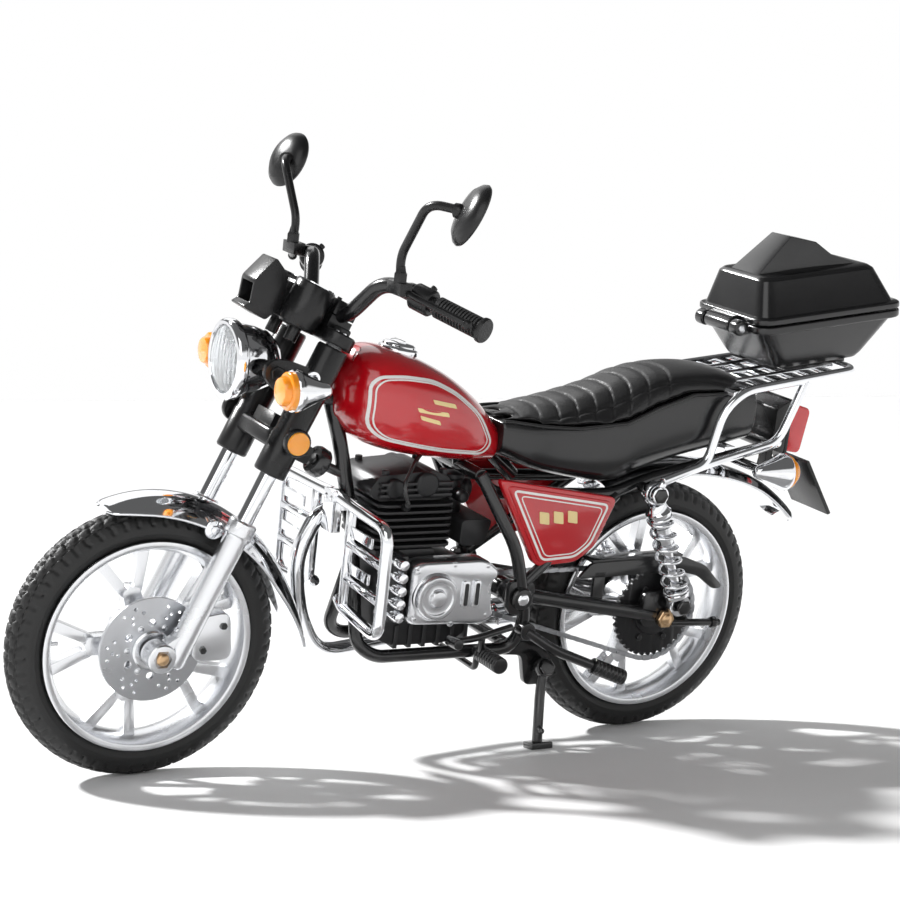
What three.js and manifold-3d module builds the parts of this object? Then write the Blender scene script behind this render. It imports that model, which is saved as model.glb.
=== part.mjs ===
// Scale-model motorcycle, millimetres, +X forward, +Y to the rider's left, +Z up.
// The machine is modelled upright and then leant over onto its side stand, so that it stands
// on two tyres and the stand's foot with the ground at z = 0.
import * as THREE from 'three';
import { mergeVertices } from 'three/addons/utils/BufferGeometryUtils.js';
import Module from 'manifold-3d';

const wasm = await Module();
wasm.setup();

// ---- driving dimensions ------------------------------------------------------------------
const leanAngle = THREE.MathUtils.degToRad(12.4);
const placeOnFloor = [14.52, -27.91, 0.11];
const gap = 0.3;

const frontAxle = { x: 64, z: 30 };
const rearAxle = { x: -64, z: 31.2 };
const frontWheel = { tyreRadius: 30, rimRadius: 23.4 };
const rearWheel = { tyreRadius: 31.2, rimRadius: 24.6 };
const rimHalfWidth = 4.75;
const tyreHalfWidth = 4.5;
const axleRadius = 1.5;

const rakeAngle = THREE.MathUtils.degToRad(24.5);
const forkFoot = { x: 60.2, z: 30 };
const forkHalfSpan = 10.2;
const stemOffset = -5.2;
const stanchionRadius = 1.9;
const sliderRadius = 2.6;
const forkCoverRadius = 3.5;

const swingPivot = { x: -21.3, z: 39.3 };
const swingArmHalfSpan = 10;
const shockHalfSpan = 15;
const shockTop = { x: -54.1, z: 63.3 };
const shockFoot = { x: -65.6, z: 35.4 };

const barRadius = 1.7;
const frameTubeRadius = 1.5;
const guardTubeRadius = 1.35;
const rackTubeRadius = 1.1;
const boxTilt = THREE.MathUtils.degToRad(7.5);
const boxHinge = { x: -78.6, z: 101.6 };

// ---- materials ---------------------------------------------------------------------------
const finish = (color, roughness, metalness) => ({ color, roughness, metalness });
const finishes = {
  blackFrame: finish(0x1b1b1d, 0.45, 0.1),
  blackPlastic: finish(0x161617, 0.5, 0),
  rubber: finish(0x121212, 0.85, 0),
  redPaint: finish(0xb5101c, 0.2, 0.1),
  chrome: finish(0xdfe2e6, 0.12, 1),
  silver: finish(0xb9bcc0, 0.35, 0.8),
  engineBlack: finish(0x232326, 0.55, 0.3),
  amber: finish(0xf08a10, 0.15, 0),
  redLens: finish(0xb01018, 0.15, 0),
  clearLens: finish(0xe4eaee, 0.08, 0),
  brass: finish(0xb08a5a, 0.35, 1),
};

// ---- solids ------------------------------------------------------------------------------
function solid(geometry) {
  const bare = geometry.clone();
  bare.deleteAttribute('normal');
  bare.deleteAttribute('uv');
  const merged = mergeVertices(bare, 1e-4);
  const corners = merged.index.array;
  const kept = [];
  for (let i = 0; i < corners.length; i += 3) {
    const [a, b, c] = [corners[i], corners[i + 1], corners[i + 2]];
    if (a !== b && b !== c && c !== a) kept.push(a, b, c);
  }
  const vertProperties = new Float32Array(merged.attributes.position.array);
  return new wasm.Manifold(new wasm.Mesh({ numProp: 3, vertProperties, triVerts: new Uint32Array(kept) }));
}

function geometryOf(manifold) {
  const mesh = manifold.getMesh();
  const geometry = new THREE.BufferGeometry();
  geometry.setAttribute('position', new THREE.BufferAttribute(new Float32Array(mesh.vertProperties), 3));
  geometry.setIndex(new THREE.BufferAttribute(new Uint32Array(mesh.triVerts), 1));
  geometry.computeVertexNormals();
  return geometry;
}

const join = (...parts) => parts.flat().reduce((whole, part) => whole.add(part));
const cut = (body, ...tools) => tools.flat().reduce((rest, tool) => rest.subtract(tool), body);
const sides = (make) => [make(1), make(-1)];

function box(low, high, turnY = 0) {
  const size = high.map((value, axis) => value - low[axis]);
  const geometry = new THREE.BoxGeometry(...size);
  geometry.rotateY(turnY);
  return solid(geometry.translate(...low.map((value, axis) => value + size[axis] / 2)));
}

function rod(from, to, radius, segments = 10) {
  const start = new THREE.Vector3(...from);
  const end = new THREE.Vector3(...to);
  const along = end.clone().sub(start);
  const geometry = new THREE.CylinderGeometry(radius, radius, along.length(), segments);
  const turn = new THREE.Quaternion().setFromUnitVectors(new THREE.Vector3(0, 1, 0), along.normalize());
  geometry.applyQuaternion(turn);
  const middle = start.add(end).multiplyScalar(0.5);
  return solid(geometry.translate(middle.x, middle.y, middle.z));
}

// A closed profile of [radius, offset] points turned about the Y axis through (x, z).
function turned(profile, centre, segments = 32) {
  const loop = [...profile, profile[0]].map(([radius, offset]) => new THREE.Vector2(radius, offset));
  const geometry = new THREE.LatheGeometry(loop, segments);
  let body = solid(geometry);
  if (body.volume() < 0) throw new Error('profile runs the wrong way');
  return body.translate(centre.x, centre.y ?? 0, centre.z);
}

// An outline of [x, z] points, extruded between two y values.
function panel(outline, yLow, yHigh, holes = []) {
  const shape = new THREE.Shape(outline.map(([x, z]) => new THREE.Vector2(x, z)));
  shape.holes = holes.map((hole) => new THREE.Path(hole.map(([x, z]) => new THREE.Vector2(x, z))));
  const geometry = new THREE.ExtrudeGeometry(shape, { depth: yHigh - yLow, bevelEnabled: false });
  geometry.rotateX(Math.PI / 2);
  return solid(geometry.translate(0, yHigh, 0));
}

function roundedOutline(points, radius, steps = 2) {
  const rounded = [];
  points.forEach((point, index) => {
    const corner = new THREE.Vector2(...point);
    const before = new THREE.Vector2(...points.at(index - 1)).sub(corner);
    const after = new THREE.Vector2(...points[(index + 1) % points.length]).sub(corner);
    const reach = Math.min(radius, before.length() / 2.1, after.length() / 2.1);
    const start = corner.clone().add(before.setLength(reach));
    const end = corner.clone().add(after.setLength(reach));
    const arc = new THREE.QuadraticBezierCurve(start, corner, end);
    rounded.push(...arc.getPoints(steps).map(({ x, y }) => [x, y]));
  });
  return rounded;
}

// A round tube through the given points, each inner corner rounded to the bend length.
function bentTube(points, radius, { bend = 4, steps = 12, segments = 6 } = {}) {
  const corners = points.map((point) => new THREE.Vector3(...point));
  const path = new THREE.CurvePath();
  let from = corners[0];
  for (let i = 1; i < corners.length - 1; i += 1) {
    const back = corners[i - 1].clone().sub(corners[i]);
    const ahead = corners[i + 1].clone().sub(corners[i]);
    const reach = Math.min(bend, back.length() / 2.2, ahead.length() / 2.2);
    const start = corners[i].clone().add(back.setLength(reach));
    const end = corners[i].clone().add(ahead.setLength(reach));
    path.add(new THREE.LineCurve3(from, start));
    path.add(new THREE.QuadraticBezierCurve3(start, corners[i], end));
    from = end;
  }
  path.add(new THREE.LineCurve3(from, corners.at(-1)));
  const circle = new THREE.Shape();
  for (let i = 0; i < segments; i += 1) {
    const angle = (i / segments) * 2 * Math.PI;
    const corner = [radius * Math.cos(angle), radius * Math.sin(angle)];
    if (i === 0) circle.moveTo(...corner);
    else circle.lineTo(...corner);
  }
  return solid(new THREE.ExtrudeGeometry(circle, { steps, extrudePath: path, bevelEnabled: false }));
}

// A closed skin over rings of [x, y, z] points, with flat ends.
function loft(rings) {
  const count = rings[0].length;
  const positions = rings.flat(2);
  const index = [];
  for (let ring = 0; ring < rings.length - 1; ring += 1) {
    for (let i = 0; i < count; i += 1) {
      const a = ring * count + i;
      const b = ring * count + ((i + 1) % count);
      index.push(a, b, b + count, a, b + count, a + count);
    }
  }
  const last = (rings.length - 1) * count;
  const ends = [rings[0], rings.at(-1)].map((ring) => ring.reduce(
    (sum, point) => sum.map((value, axis) => value + point[axis] / count), [0, 0, 0]));
  positions.push(...ends.flat());
  const tip = rings.length * count;
  for (let i = 0; i < count; i += 1) {
    const next = (i + 1) % count;
    index.push(tip, next, i, tip + 1, last + i, last + next);
  }
  const geometry = new THREE.BufferGeometry();
  geometry.setAttribute('position', new THREE.BufferAttribute(new Float32Array(positions), 3));
  geometry.setIndex(index);
  let body = solid(geometry);
  if (body.volume() < 0) {
    for (let i = 0; i < index.length; i += 3) [index[i], index[i + 1]] = [index[i + 1], index[i]];
    geometry.setIndex(index);
    body = solid(geometry);
  }
  return body;
}

// Stations of [x, lowest z, highest z, half width, squareness], smoothed along x.
function hull(stations, { slices = 16, around = 20 } = {}) {
  const position = new THREE.CatmullRomCurve3(stations.map(([x, low, high]) => new THREE.Vector3(x, low, high)));
  const breadth = new THREE.CatmullRomCurve3(stations.map(([, , , half, power]) => new THREE.Vector3(half, power, 0)));
  const rings = [];
  for (let i = 0; i <= slices; i += 1) {
    const place = position.getPoint(i / slices);
    const wide = breadth.getPoint(i / slices);
    const ring = [];
    for (let k = 0; k < around; k += 1) {
      const angle = (k / around) * 2 * Math.PI;
      const across = Math.sign(Math.cos(angle)) * Math.abs(Math.cos(angle)) ** (2 / wide.y);
      const upward = Math.sign(Math.sin(angle)) * Math.abs(Math.sin(angle)) ** (2 / wide.y);
      ring.push([place.x, wide.x * across, (place.y + place.z) / 2 + ((place.z - place.y) / 2) * upward]);
    }
    rings.push(ring);
  }
  return loft(rings);
}

// A rounded rectangle ring, level at z, for the top box.
function boxRing(front, rear, halfWidth, z, corner, steps = 3) {
  const outline = [[front, halfWidth], [rear, halfWidth], [rear, -halfWidth], [front, -halfWidth]];
  return roundedOutline(outline, corner, steps).map(([x, y]) => [x, y, z]);
}

// ---- scene graph -------------------------------------------------------------------------
const motorcycle = new THREE.Group();
const leaning = new THREE.Group();
leaning.rotation.x = -leanAngle;
motorcycle.position.set(...placeOnFloor);
motorcycle.add(leaning);

const fork = new THREE.Group();
fork.position.set(forkFoot.x, 0, forkFoot.z);
fork.rotation.y = -rakeAngle;
leaning.add(fork);

const topBox = new THREE.Group();
topBox.position.set(boxHinge.x, 0, boxHinge.z);
topBox.rotation.y = boxTilt;
leaning.add(topBox);

function add(name, body, look, parent = leaning) {
  const mesh = new THREE.Mesh(geometryOf(body), new THREE.MeshStandardMaterial(finishes[look]));
  mesh.name = name;
  parent.add(mesh);
}

// A point in the fork's own frame (ahead of the fork line, left, along it) in machine terms.
const forkPoint = ([ahead, left, along]) => [
  forkFoot.x + ahead * Math.cos(rakeAngle) - along * Math.sin(rakeAngle),
  left,
  forkFoot.z + ahead * Math.sin(rakeAngle) + along * Math.cos(rakeAngle),
];

// ---- wheels ------------------------------------------------------------------------------
function tyre({ tyreRadius, rimRadius }, centre) {
  const bead = rimRadius + gap;
  const profile = [];
  const crown = 5;
  for (let i = 0; i <= 5; i += 1) {
    const angle = THREE.MathUtils.degToRad(-90 + 36 * i);
    profile.push([tyreRadius - crown + crown * Math.cos(angle), tyreHalfWidth * Math.sin(angle)]);
  }
  return turned([[bead, -4], ...profile, [bead, 4]], centre, 32);
}

function rim({ rimRadius }, hubRadius, hubLow, hubHigh, centre, fittings = []) {
  const inner = rimRadius - 2.6;
  const w = rimHalfWidth;
  const ring = turned([[inner, -2.4], [rimRadius - 1, -w], [rimRadius, -w], [rimRadius - 0.4, 0], [rimRadius, w],
    [rimRadius - 1, w], [inner, 2.4]], { x: 0, z: 0 }, 28);
  const hub = rod([0, hubLow, 0], [0, hubHigh, 0], hubRadius, 16);
  const arms = [];
  const root = [[hubRadius - 0.8, 2.1], [hubRadius - 0.8, -2.1]];
  const split = hubRadius + 4.2;
  for (let spoke = 0; spoke < 5; spoke += 1) {
    const turn = THREE.MathUtils.radToDeg((spoke / 5) * 2 * Math.PI + 0.3);
    for (const side of [1, -1]) {
      const arm = [[split - 1, 0.2 * side], [split, 1.9 * side], [inner + 0.6, 6.4 * side], [inner + 0.6, 3.9 * side]];
      arms.push(panel(side > 0 ? [...arm].reverse() : arm, -1.5, 1.5).rotate([0, turn, 0]));
    }
    const trunk = [...root, [split, -1.9], [split, 1.9]];
    arms.push(panel(trunk, -1.7, 1.7).rotate([0, turn, 0]));
  }
  const bore = rod([0, hubLow - 1, 0], [0, hubHigh + 3, 0], axleRadius + gap, 10);
  return cut(join(ring, hub, arms, fittings), bore).translate(centre.x, 0, centre.z);
}

add('front_rim', rim(frontWheel, 4.4, -7.2, 4.6, frontAxle), 'silver');
add('front_tyre', tyre(frontWheel, frontAxle), 'rubber');
const sprocket = rod([0, 6, 0], [0, 7.6, 0], 10.9, 24);
add('rear_rim', rim(rearWheel, 6.2, -7.4, 6.2, rearAxle, [sprocket]), 'silver');
add('rear_tyre', tyre(rearWheel, rearAxle), 'rubber');

function brakeDisc() {
  const disc = rod([0, 5, 0], [0, 5.8, 0], 11.4, 24);
  const cuts = [rod([0, 4, 0], [0, 7, 0], axleRadius + gap, 12)];
  for (let i = 0; i < 6; i += 1) {
    const angle = (i / 6) * 2 * Math.PI;
    const [x, z] = [6.6 * Math.cos(angle), 6.6 * Math.sin(angle)];
    cuts.push(rod([x, 4, z], [x, 7, z], 1.7, 8));
  }
  return cut(disc, cuts).translate(frontAxle.x, 0, frontAxle.z);
}
add('brake_disc', brakeDisc(), 'silver');

const axleRod = (axle, half) => rod([axle.x, -half, axle.z], [axle.x, half, axle.z], axleRadius - 0.05, 12);
add('front_axle', axleRod(frontAxle, 13.5), 'brass');
add('rear_axle', axleRod(rearAxle, 14), 'brass');

// ---- front fork --------------------------------------------------------------------------
const forkLug = { ahead: (frontAxle.x - forkFoot.x) * Math.cos(rakeAngle),
  along: -(frontAxle.x - forkFoot.x) * Math.sin(rakeAngle) };

function slider(side) {
  const y = side * forkHalfSpan;
  const tube = rod([0, y, -2.4], [0, y, 31.5], sliderRadius, 10);
  const collar = rod([0, y, 28.6], [0, y, 31.5], sliderRadius + 0.35, 10);
  const lug = rod([forkLug.ahead, y - 2.4, forkLug.along], [forkLug.ahead, y + 2.4, forkLug.along], 3.1, 12);
  const web = box([0, y - 2, forkLug.along - 1.6], [forkLug.ahead, y + 2, forkLug.along + 3]);
  const bore = rod([0, y, 5], [0, y, 33], stanchionRadius + gap);
  const axleBore = rod([forkLug.ahead, y - 4, forkLug.along], [forkLug.ahead, y + 4, forkLug.along],
    axleRadius + gap / 2);
  return cut(join(tube, collar, lug, web), bore, axleBore);
}
add('fork_slider_left', slider(1), 'silver', fork);
add('fork_slider_right', slider(-1), 'silver', fork);

const stanchion = (side) => rod([0, side * forkHalfSpan, 11], [0, side * forkHalfSpan, 76.6], stanchionRadius);
add('fork_tube_left', stanchion(1), 'chrome', fork);
add('fork_tube_right', stanchion(-1), 'chrome', fork);

const tubeBore = (side, from, to) => rod([0, side * forkHalfSpan, from], [0, side * forkHalfSpan, to],
  stanchionRadius + gap);

// The lower yoke, the two fork covers with their lamp ears and the steering stem are one moulding.
function forkCover(side) {
  const y = side * forkHalfSpan;
  const shell = rod([0, y, 50], [0, y, 72.8], forkCoverRadius, 12);
  const ear = join(box([0, side * 10.4 - 0.9, 59], [9.6, side * 10.4 + 0.9, 66]),
    rod([9.6, side * 10.4 - 0.9, 62.5], [9.6, side * 10.4 + 0.9, 62.5], 3.5, 12));
  const reflector = join(rod([0.7, side * 13, 51.5], [0.7, side * 15.8, 51.5], 1, 10),
    rod([0.7, side * 15.6, 51.5], [0.7, side * 17.6, 51.5], 3, 12));
  return join(shell, ear, reflector);
}
function lowerYoke() {
  const body = box([-8.6, -8, 47.8], [2.8, 8, 52]);
  const boss = box([-1, -4.5, 50], [2, 4.5, 55]);
  const sockets = sides((side) => rod([0, side * forkHalfSpan, 42.7], [0, side * forkHalfSpan, 52.4],
    forkCoverRadius + 0.15, 16));
  const stem = rod([stemOffset, 0, 50], [stemOffset, 0, 76], 1.6);
  return cut(join(body, boss, sockets, stem, sides(forkCover)), sides((side) => tubeBore(side, 40, 76)),
    headTubeRoom);
}
const headTubeRoom = cut(rod([stemOffset, 0, 52.5], [stemOffset, 0, 80], 3.4, 12),
  rod([stemOffset, 0, 50], [stemOffset, 0, 82], 1.6));
add('lower_yoke', lowerYoke(), 'blackPlastic', fork);

function upperYoke() {
  const body = join(box([-2, -9, 73.2], [2.4, 9, 76.2]), box([-7.8, -3.6, 73.2], [0, 3.6, 76.2]));
  const sockets = sides((side) => rod([0, side * forkHalfSpan, 73.2], [0, side * forkHalfSpan, 76.2],
    forkCoverRadius, 16));
  const risers = sides((side) => box([-3.2, side * 5.4 - 1.9, 76], [2.4, side * 5.4 + 1.9, 82.6]));
  return cut(join(body, sockets, risers), sides((side) => tubeBore(side, 70, 78)),
    rod([stemOffset, 0, 72], [stemOffset, 0, 78], 1.9, 12), handlebarSolid(barRadius + 0.25));
}

const barCurve = [[27.2, 0, 102.2], [27.2, 8.5, 102.2], [23.4, 17.6, 112.1], [12.4, 40.4, 106.3]];
function inFork(body) {
  const turn = THREE.MathUtils.radToDeg(rakeAngle);
  return body.translate(-forkFoot.x, 0, -forkFoot.z).rotate([0, turn, 0]);
}
function handlebarSolid(radius) {
  const points = [...barCurve.slice(1).reverse().map(([x, y, z]) => [x, -y, z]), ...barCurve.slice(1)];
  return inFork(bentTube(points, radius, { bend: 4.5, steps: 16, segments: 8 }));
}
add('upper_yoke', upperYoke(), 'blackPlastic', fork);
add('handlebar', handlebarSolid(barRadius), 'blackFrame', fork);
// ---- headlight, dials and signals --------------------------------------------------------
const lampCentre = { x: 49.6, z: 91.6 };
function headlight() {
  const outline = [[0, -11.5], [3.6, -11], [6.2, -8.4], [7.4, -4.4], [7.7, -1.6], [8.6, -1.2], [8.6, 0.6], [7.2, 1],
    [7.2, -0.6], [0, -0.6]];
  const shell = new THREE.LatheGeometry(outline.map(([radius, z]) => new THREE.Vector2(radius, z)), 24);
  return solid(shell.rotateZ(-Math.PI / 2)).translate(lampCentre.x, 0, lampCentre.z);
}
add('headlight_shell', headlight(), 'chrome');
const lensDome = new THREE.LatheGeometry([[0, -0.2], [6.9, -0.2], [6.9, 0.5], [5, 1.5], [2.6, 2.1], [0, 2.3]].map(
  ([radius, z]) => new THREE.Vector2(radius, z)), 24);
add('headlight_lens', solid(lensDome.rotateZ(-Math.PI / 2)).translate(lampCentre.x, 0, lampCentre.z), 'clearLens');

function dials() {
  const pods = sides((side) => rod([7.4, side * 4.7, 73], [7.4, side * 4.7, 83], 4.6, 14));
  const bridge = box([4.6, -4.7, 73.4], [11.7, 4.7, 82.2]);
  const posts = sides((side) => rod([7.4, side * 4.7, 69.6], [7.4, side * 4.7, 73.4], 1.4, 10));
  const neck = box([10, -2.6, 74], [14.4, 2.6, 79]);
  return join(pods, bridge, posts, neck);
}
const visor = [[46.3, 109.2], [41.7, 113.9], [38.6, 110.2], [39.9, 103.4], [43.2, 100.6], [48.6, 103.5], [46.9, 104.4]];
const visorPocket = [[49, 105.6], [46.2, 108.6], [41.2, 108], [42.4, 103.6], [46.2, 103.8]];
function dialsAndVisor() {
  const hood = cut(panel(visor, -3.4, 3.4), panel(visorPocket, -2.7, 2.7));
  return join(dials(), inFork(hood));
}
add('dials_and_visor', dialsAndVisor(), 'blackPlastic', fork);

// A bullet lamp with its lens, turned to face forward (1) or backward (-1).
function signal(side, { x, y, z }, facing) {
  const outline = [[0, -8.6], [1.3, -8.2], [2.2, -5.6], [4.2, -1.4], [4.5, 0], [4.1, 0.4], [4.1, 1.6], [3.2, 2.8],
    [1.6, 3.4], [0, 3.5]];
  const shell = new THREE.LatheGeometry(outline.map(([radius, along]) => new THREE.Vector2(radius, along)), 14);
  return solid(shell.rotateZ(-Math.PI / 2 * facing)).translate(x, side * y, z);
}
const frontSignal = { x: 43.4, y: 20.5, z: 89.2 };
const rearSignal = { x: -88.6, y: 18, z: 68.4 };
for (const side of [1, -1]) {
  const { x, y, z } = frontSignal;
  const arm = rod([x - 3, side * y, z], [x - 7.4, side * 14.2, z + 1.2], 1.1, 10);
  add(`front_signal_${side > 0 ? 'left' : 'right'}`, join(signal(side, frontSignal, 1), arm), 'amber');
}
function rearSignals() {
  const { x, y, z } = rearSignal;
  const arms = rod([x + 4.8, -y, z], [x + 4.8, y, z], 1.1, 10);
  const bracket = box([x + 3.2, -3, z - 0.4], [x + 6.4, 3, z + 2.4]);
  return join(sides((side) => signal(side, rearSignal, -1)), arms, bracket);
}

// ---- handlebar fittings ------------------------------------------------------------------
const barStart = new THREE.Vector3(...barCurve[2]);
const barEnd = new THREE.Vector3(...barCurve[3]);
const onBar = (share, side, ahead = 0, up = 0) => {
  const point = barStart.clone().lerp(barEnd, share);
  return [point.x + ahead, side * point.y, point.z + up];
};
function grip(side) {
  const sleeve = rod(onBar(0.55, side), onBar(1.02, side), 2.25, 10);
  return cut(join(sleeve, rod(onBar(0.985, side), onBar(1.04, side), 2.5, 16)),
    rod(onBar(0.4, side), onBar(1.005, side), barRadius + gap, 10));
}
function controls(side) {
  const pod = rod(onBar(0.3, side), onBar(0.5, side), 2.9, 12);
  const perch = box([22.8, side * 26 - 3.4, 110.6], [25.6, side * 26 + 2.6, 113.2]);
  const bridge = rod(onBar(0.34, side), [24.2, side * 25.5, 111.8], 1.3, 10);
  const lever = bentTube([[24.2, side * 26, 111.8], [22.6, side * 31, 110.6], [16.6, side * 42, 107.4]], 0.75,
    { bend: 5, steps: 8 });
  return cut(join(pod, perch, bridge, lever), rod(onBar(0.1, side), onBar(0.9, side), barRadius + gap, 10));
}
function mirror(side) {
  const start = [24.4, side * 26, 113.5];
  const stalk = bentTube([start, [24.4, side * 25, 118.4], [24.4, side * 34.4, 130.6], [20.6, side * 40.4, 130.2]],
    0.95, { bend: 3, steps: 9 });
  const foot = rod(start, [24.4, side * 25.9, 115.2], 1.5, 10);
  const outline = [[0, -1.7], [4.6, -1.3], [5.7, 0.2], [5.4, 0.9], [0, 0.9]];
  const head = new THREE.LatheGeometry(outline.map(([radius, along]) => new THREE.Vector2(radius, along)), 18);
  head.scale(1, 1, 1.18);
  head.rotateZ(Math.PI / 2);
  const tilt = new THREE.Euler(0, THREE.MathUtils.degToRad(-8), THREE.MathUtils.degToRad(-side * 14));
  head.applyMatrix4(new THREE.Matrix4().makeRotationFromEuler(tilt));
  return join(stalk, foot, solid(head).translate(19.6, side * 43, 129.8));
}
for (const side of [1, -1]) {
  const hand = side > 0 ? 'left' : 'right';
  add(`grip_${hand}`, inFork(grip(side)), 'rubber', fork);
  add(`bar_controls_${hand}`, inFork(controls(side)), 'blackPlastic', fork);
  add(`mirror_${hand}`, inFork(mirror(side)), 'blackPlastic', fork);
}

// ---- front mudguard and brake ------------------------------------------------------------
// An arched strip of sheet round a wheel: stations of [angle, crown radius, half width, edge drop].
function mudguard(stations, centre, thickness) {
  const course = new THREE.CatmullRomCurve3(stations.map(([angle, radius, half]) =>
    new THREE.Vector3(angle, radius, half)));
  const drops = new THREE.CatmullRomCurve3(stations.map(([, , , drop]) => new THREE.Vector3(drop, 0, 0)));
  const rings = [];
  const slices = 12;
  for (let i = 0; i <= slices; i += 1) {
    const { x: degrees, y: radius, z: half } = course.getPoint(i / slices);
    const drop = drops.getPoint(i / slices).x;
    const angle = THREE.MathUtils.degToRad(degrees);
    const arch = (shrink) => [-1, -0.85, -0.5, 0, 0.5, 0.85, 1].map((share) => {
      const r = radius - shrink - drop * Math.abs(share) ** 2.6;
      return [centre.x + r * Math.cos(angle), share * (half - shrink * 0.8), centre.z + r * Math.sin(angle)];
    });
    rings.push([...arch(0), ...arch(thickness).reverse()]);
  }
  return loft(rings);
}
function frontMudguard() {
  const guard = mudguard([[70, 32.9, 5, 1], [84, 33.2, 6.6, 3], [108, 33.4, 6.9, 4.6], [135, 33.6, 6.9, 4.4],
    [160, 34.6, 6.8, 3.4], [183, 37.6, 5.6, 1]], frontAxle, 0.7);
  const stays = sides((side) => rod([52.2, side * 6, 56.2], [52.2, side * 7.1, 56.2], 2.2, 12));
  return join(guard, stays);
}
add('front_mudguard', frontMudguard(), 'chrome');

function caliper() {
  const body = panel(roundedOutline([[46.4, 27.4], [55.8, 27.4], [55.8, 37.2], [47.6, 38.4]], 2.4, 3), 3.6, 8.6);
  const slot = rod([frontAxle.x, 4.5, frontAxle.z], [frontAxle.x, 6.3, frontAxle.z], 12.2, 24);
  const clearLeg = rod(forkPoint([0, forkHalfSpan, -6]), forkPoint([0, forkHalfSpan, 30]), sliderRadius + gap, 16);
  return cut(body, slot, clearLeg);
}
add('brake_caliper', caliper(), 'silver');

// ---- frame -------------------------------------------------------------------------------
const headTube = rod(forkPoint([stemOffset, 0, 52.8]), forkPoint([stemOffset, 0, 72.6]), 3.1, 14);
const stemBore = rod(forkPoint([stemOffset, 0, 50]), forkPoint([stemOffset, 0, 76]), 1.9);
const backbone = [[29.6, 0, 84.6], [22, 0, 82], [6, 0, 79.5], [-14, 0, 73.5], [-24, 0, 64.5]];
const downTubeCourse = [[24.2, 0, 82], [21.2, 0, 73.5], [15.4, 0, 50.5]];
const backboneSolid = (radius) => bentTube(backbone, radius, { bend: 6, steps: 7, segments: 8 });

function mainFrame() {
  const downTube = bentTube([...downTubeCourse, [15.2, 0, 45]], 1.7, { bend: 4, steps: 6, segments: 8 });
  const cradle = sides((side) => bentTube([[15.2, side * 0.4, 46.4], [16, side * 7, 28.6], [12, side * 8.6, 25.6],
    [-22, side * 11.6, 26.4], [-23.6, side * 13.7, 34], [-19.4, side * 13.4, 50.5], [-9.4, side * 10.6, 67.8]],
    frameTubeRadius, { bend: 4, steps: 12 }));
  const cross = rod([-9.6, -10.6, 67.4], [-9.6, 10.6, 67.4], frameTubeRadius, 10);
  const drop = bentTube([[-8.6, 0, 74.4], [-9.6, 0, 67.4]], frameTubeRadius, { steps: 3 });
  const rails = sides((side) => bentTube([[-9.6, side * 9, 67.4], [-14, side * 8.6, 62.8], [-46, side * 8.6, 61.6],
    [-56, side * 8.8, 65.2], [-92, side * 8.2, 72.6]], frameTubeRadius - 0.1, { bend: 4, steps: 8 }));
  const tailBar = rod([-91.4, -8.2, 72.5], [-91.4, 8.2, 72.5], 1.3, 8);
  const shockPins = sides((side) => rod([shockTop.x, side * 8.4, shockTop.z + 0.3],
    [shockTop.x, side * 17.4, shockTop.z], 1.2, 10));
  const pivotPlates = sides((side) => panel(roundedOutline([[-18.2, 35.4], [-24.8, 35.4], [-25, 43], [-18, 43.4]], 2),
    side > 0 ? 12.6 : -14.2, side > 0 ? 14.2 : -12.6));
  const lowerBar = rod([-22, -11.6, 26.6], [-22, 11.6, 26.6], 1.4, 10);
  return cut(join(headTube, backboneSolid(1.8), downTube, cradle, cross, drop, rails, tailBar, shockPins, pivotPlates,
    lowerBar), stemBore);
}
const frameSolid = mainFrame();
const pivotBolt = rod([swingPivot.x, -15.4, swingPivot.z], [swingPivot.x, 15.4, swingPivot.z], 1.3, 10);
const pivotHeads = sides((side) => rod([swingPivot.x, side * 14.6, swingPivot.z],
  [swingPivot.x, side * 15.8, swingPivot.z], 2.6, 10));
const pivotBore = rod([swingPivot.x, -20, swingPivot.z], [swingPivot.x, 20, swingPivot.z], 1.6, 12);

// ---- engine ------------------------------------------------------------------------------
function crankcase() {
  const outline = roundedOutline([[12.6, 30], [12.6, 44], [9, 48.4], [-6, 48.4], [-12.2, 46], [-12.2, 33], [-8, 28.2],
    [8, 28.2]], 3);
  const neck = panel([[-1.4, 47], [14, 47], [14.6, 50], [-1, 50]], -7.6, 7.6);
  const body = join(panel(outline, -9.5, 9.5), neck);
  const cradleRoom = sides((side) => box([10.4, side * 4 - 3, 27], [14, side * 4 + 3, 32]));
  return cut(body, cradleRoom, rod([15.4, 0, 52], [15.2, 0, 43], 2.1, 10));
}

const coverOutline = [[7.6, 34.4], [7.6, 47.6], [5.4, 49], [-11.4, 49.1], [-15.4, 45.8], [-13.4, 43.6], [-13.8, 38.2],
  [-14.9, 35], [-12.2, 33.6]];
function sideCover(side) {
  const y = (from, to) => (side > 0 ? [from, to] : [-to, -from]);
  const shell = panel(roundedOutline(coverOutline, 1.6), ...y(9.8, 14.6));
  const cap = rod([1.4, side * 14.4, 41], [1.4, side * 16.2, 41], 5.2, 16);
  const hub = rod([1.4, side * 16, 41], [1.4, side * 16.9, 41], 1.7);
  return join(shell, cap, hub);
}
add('engine_cover_left', sideCover(1), 'silver');
add('engine_cover_right', sideCover(-1), 'silver');

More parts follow.
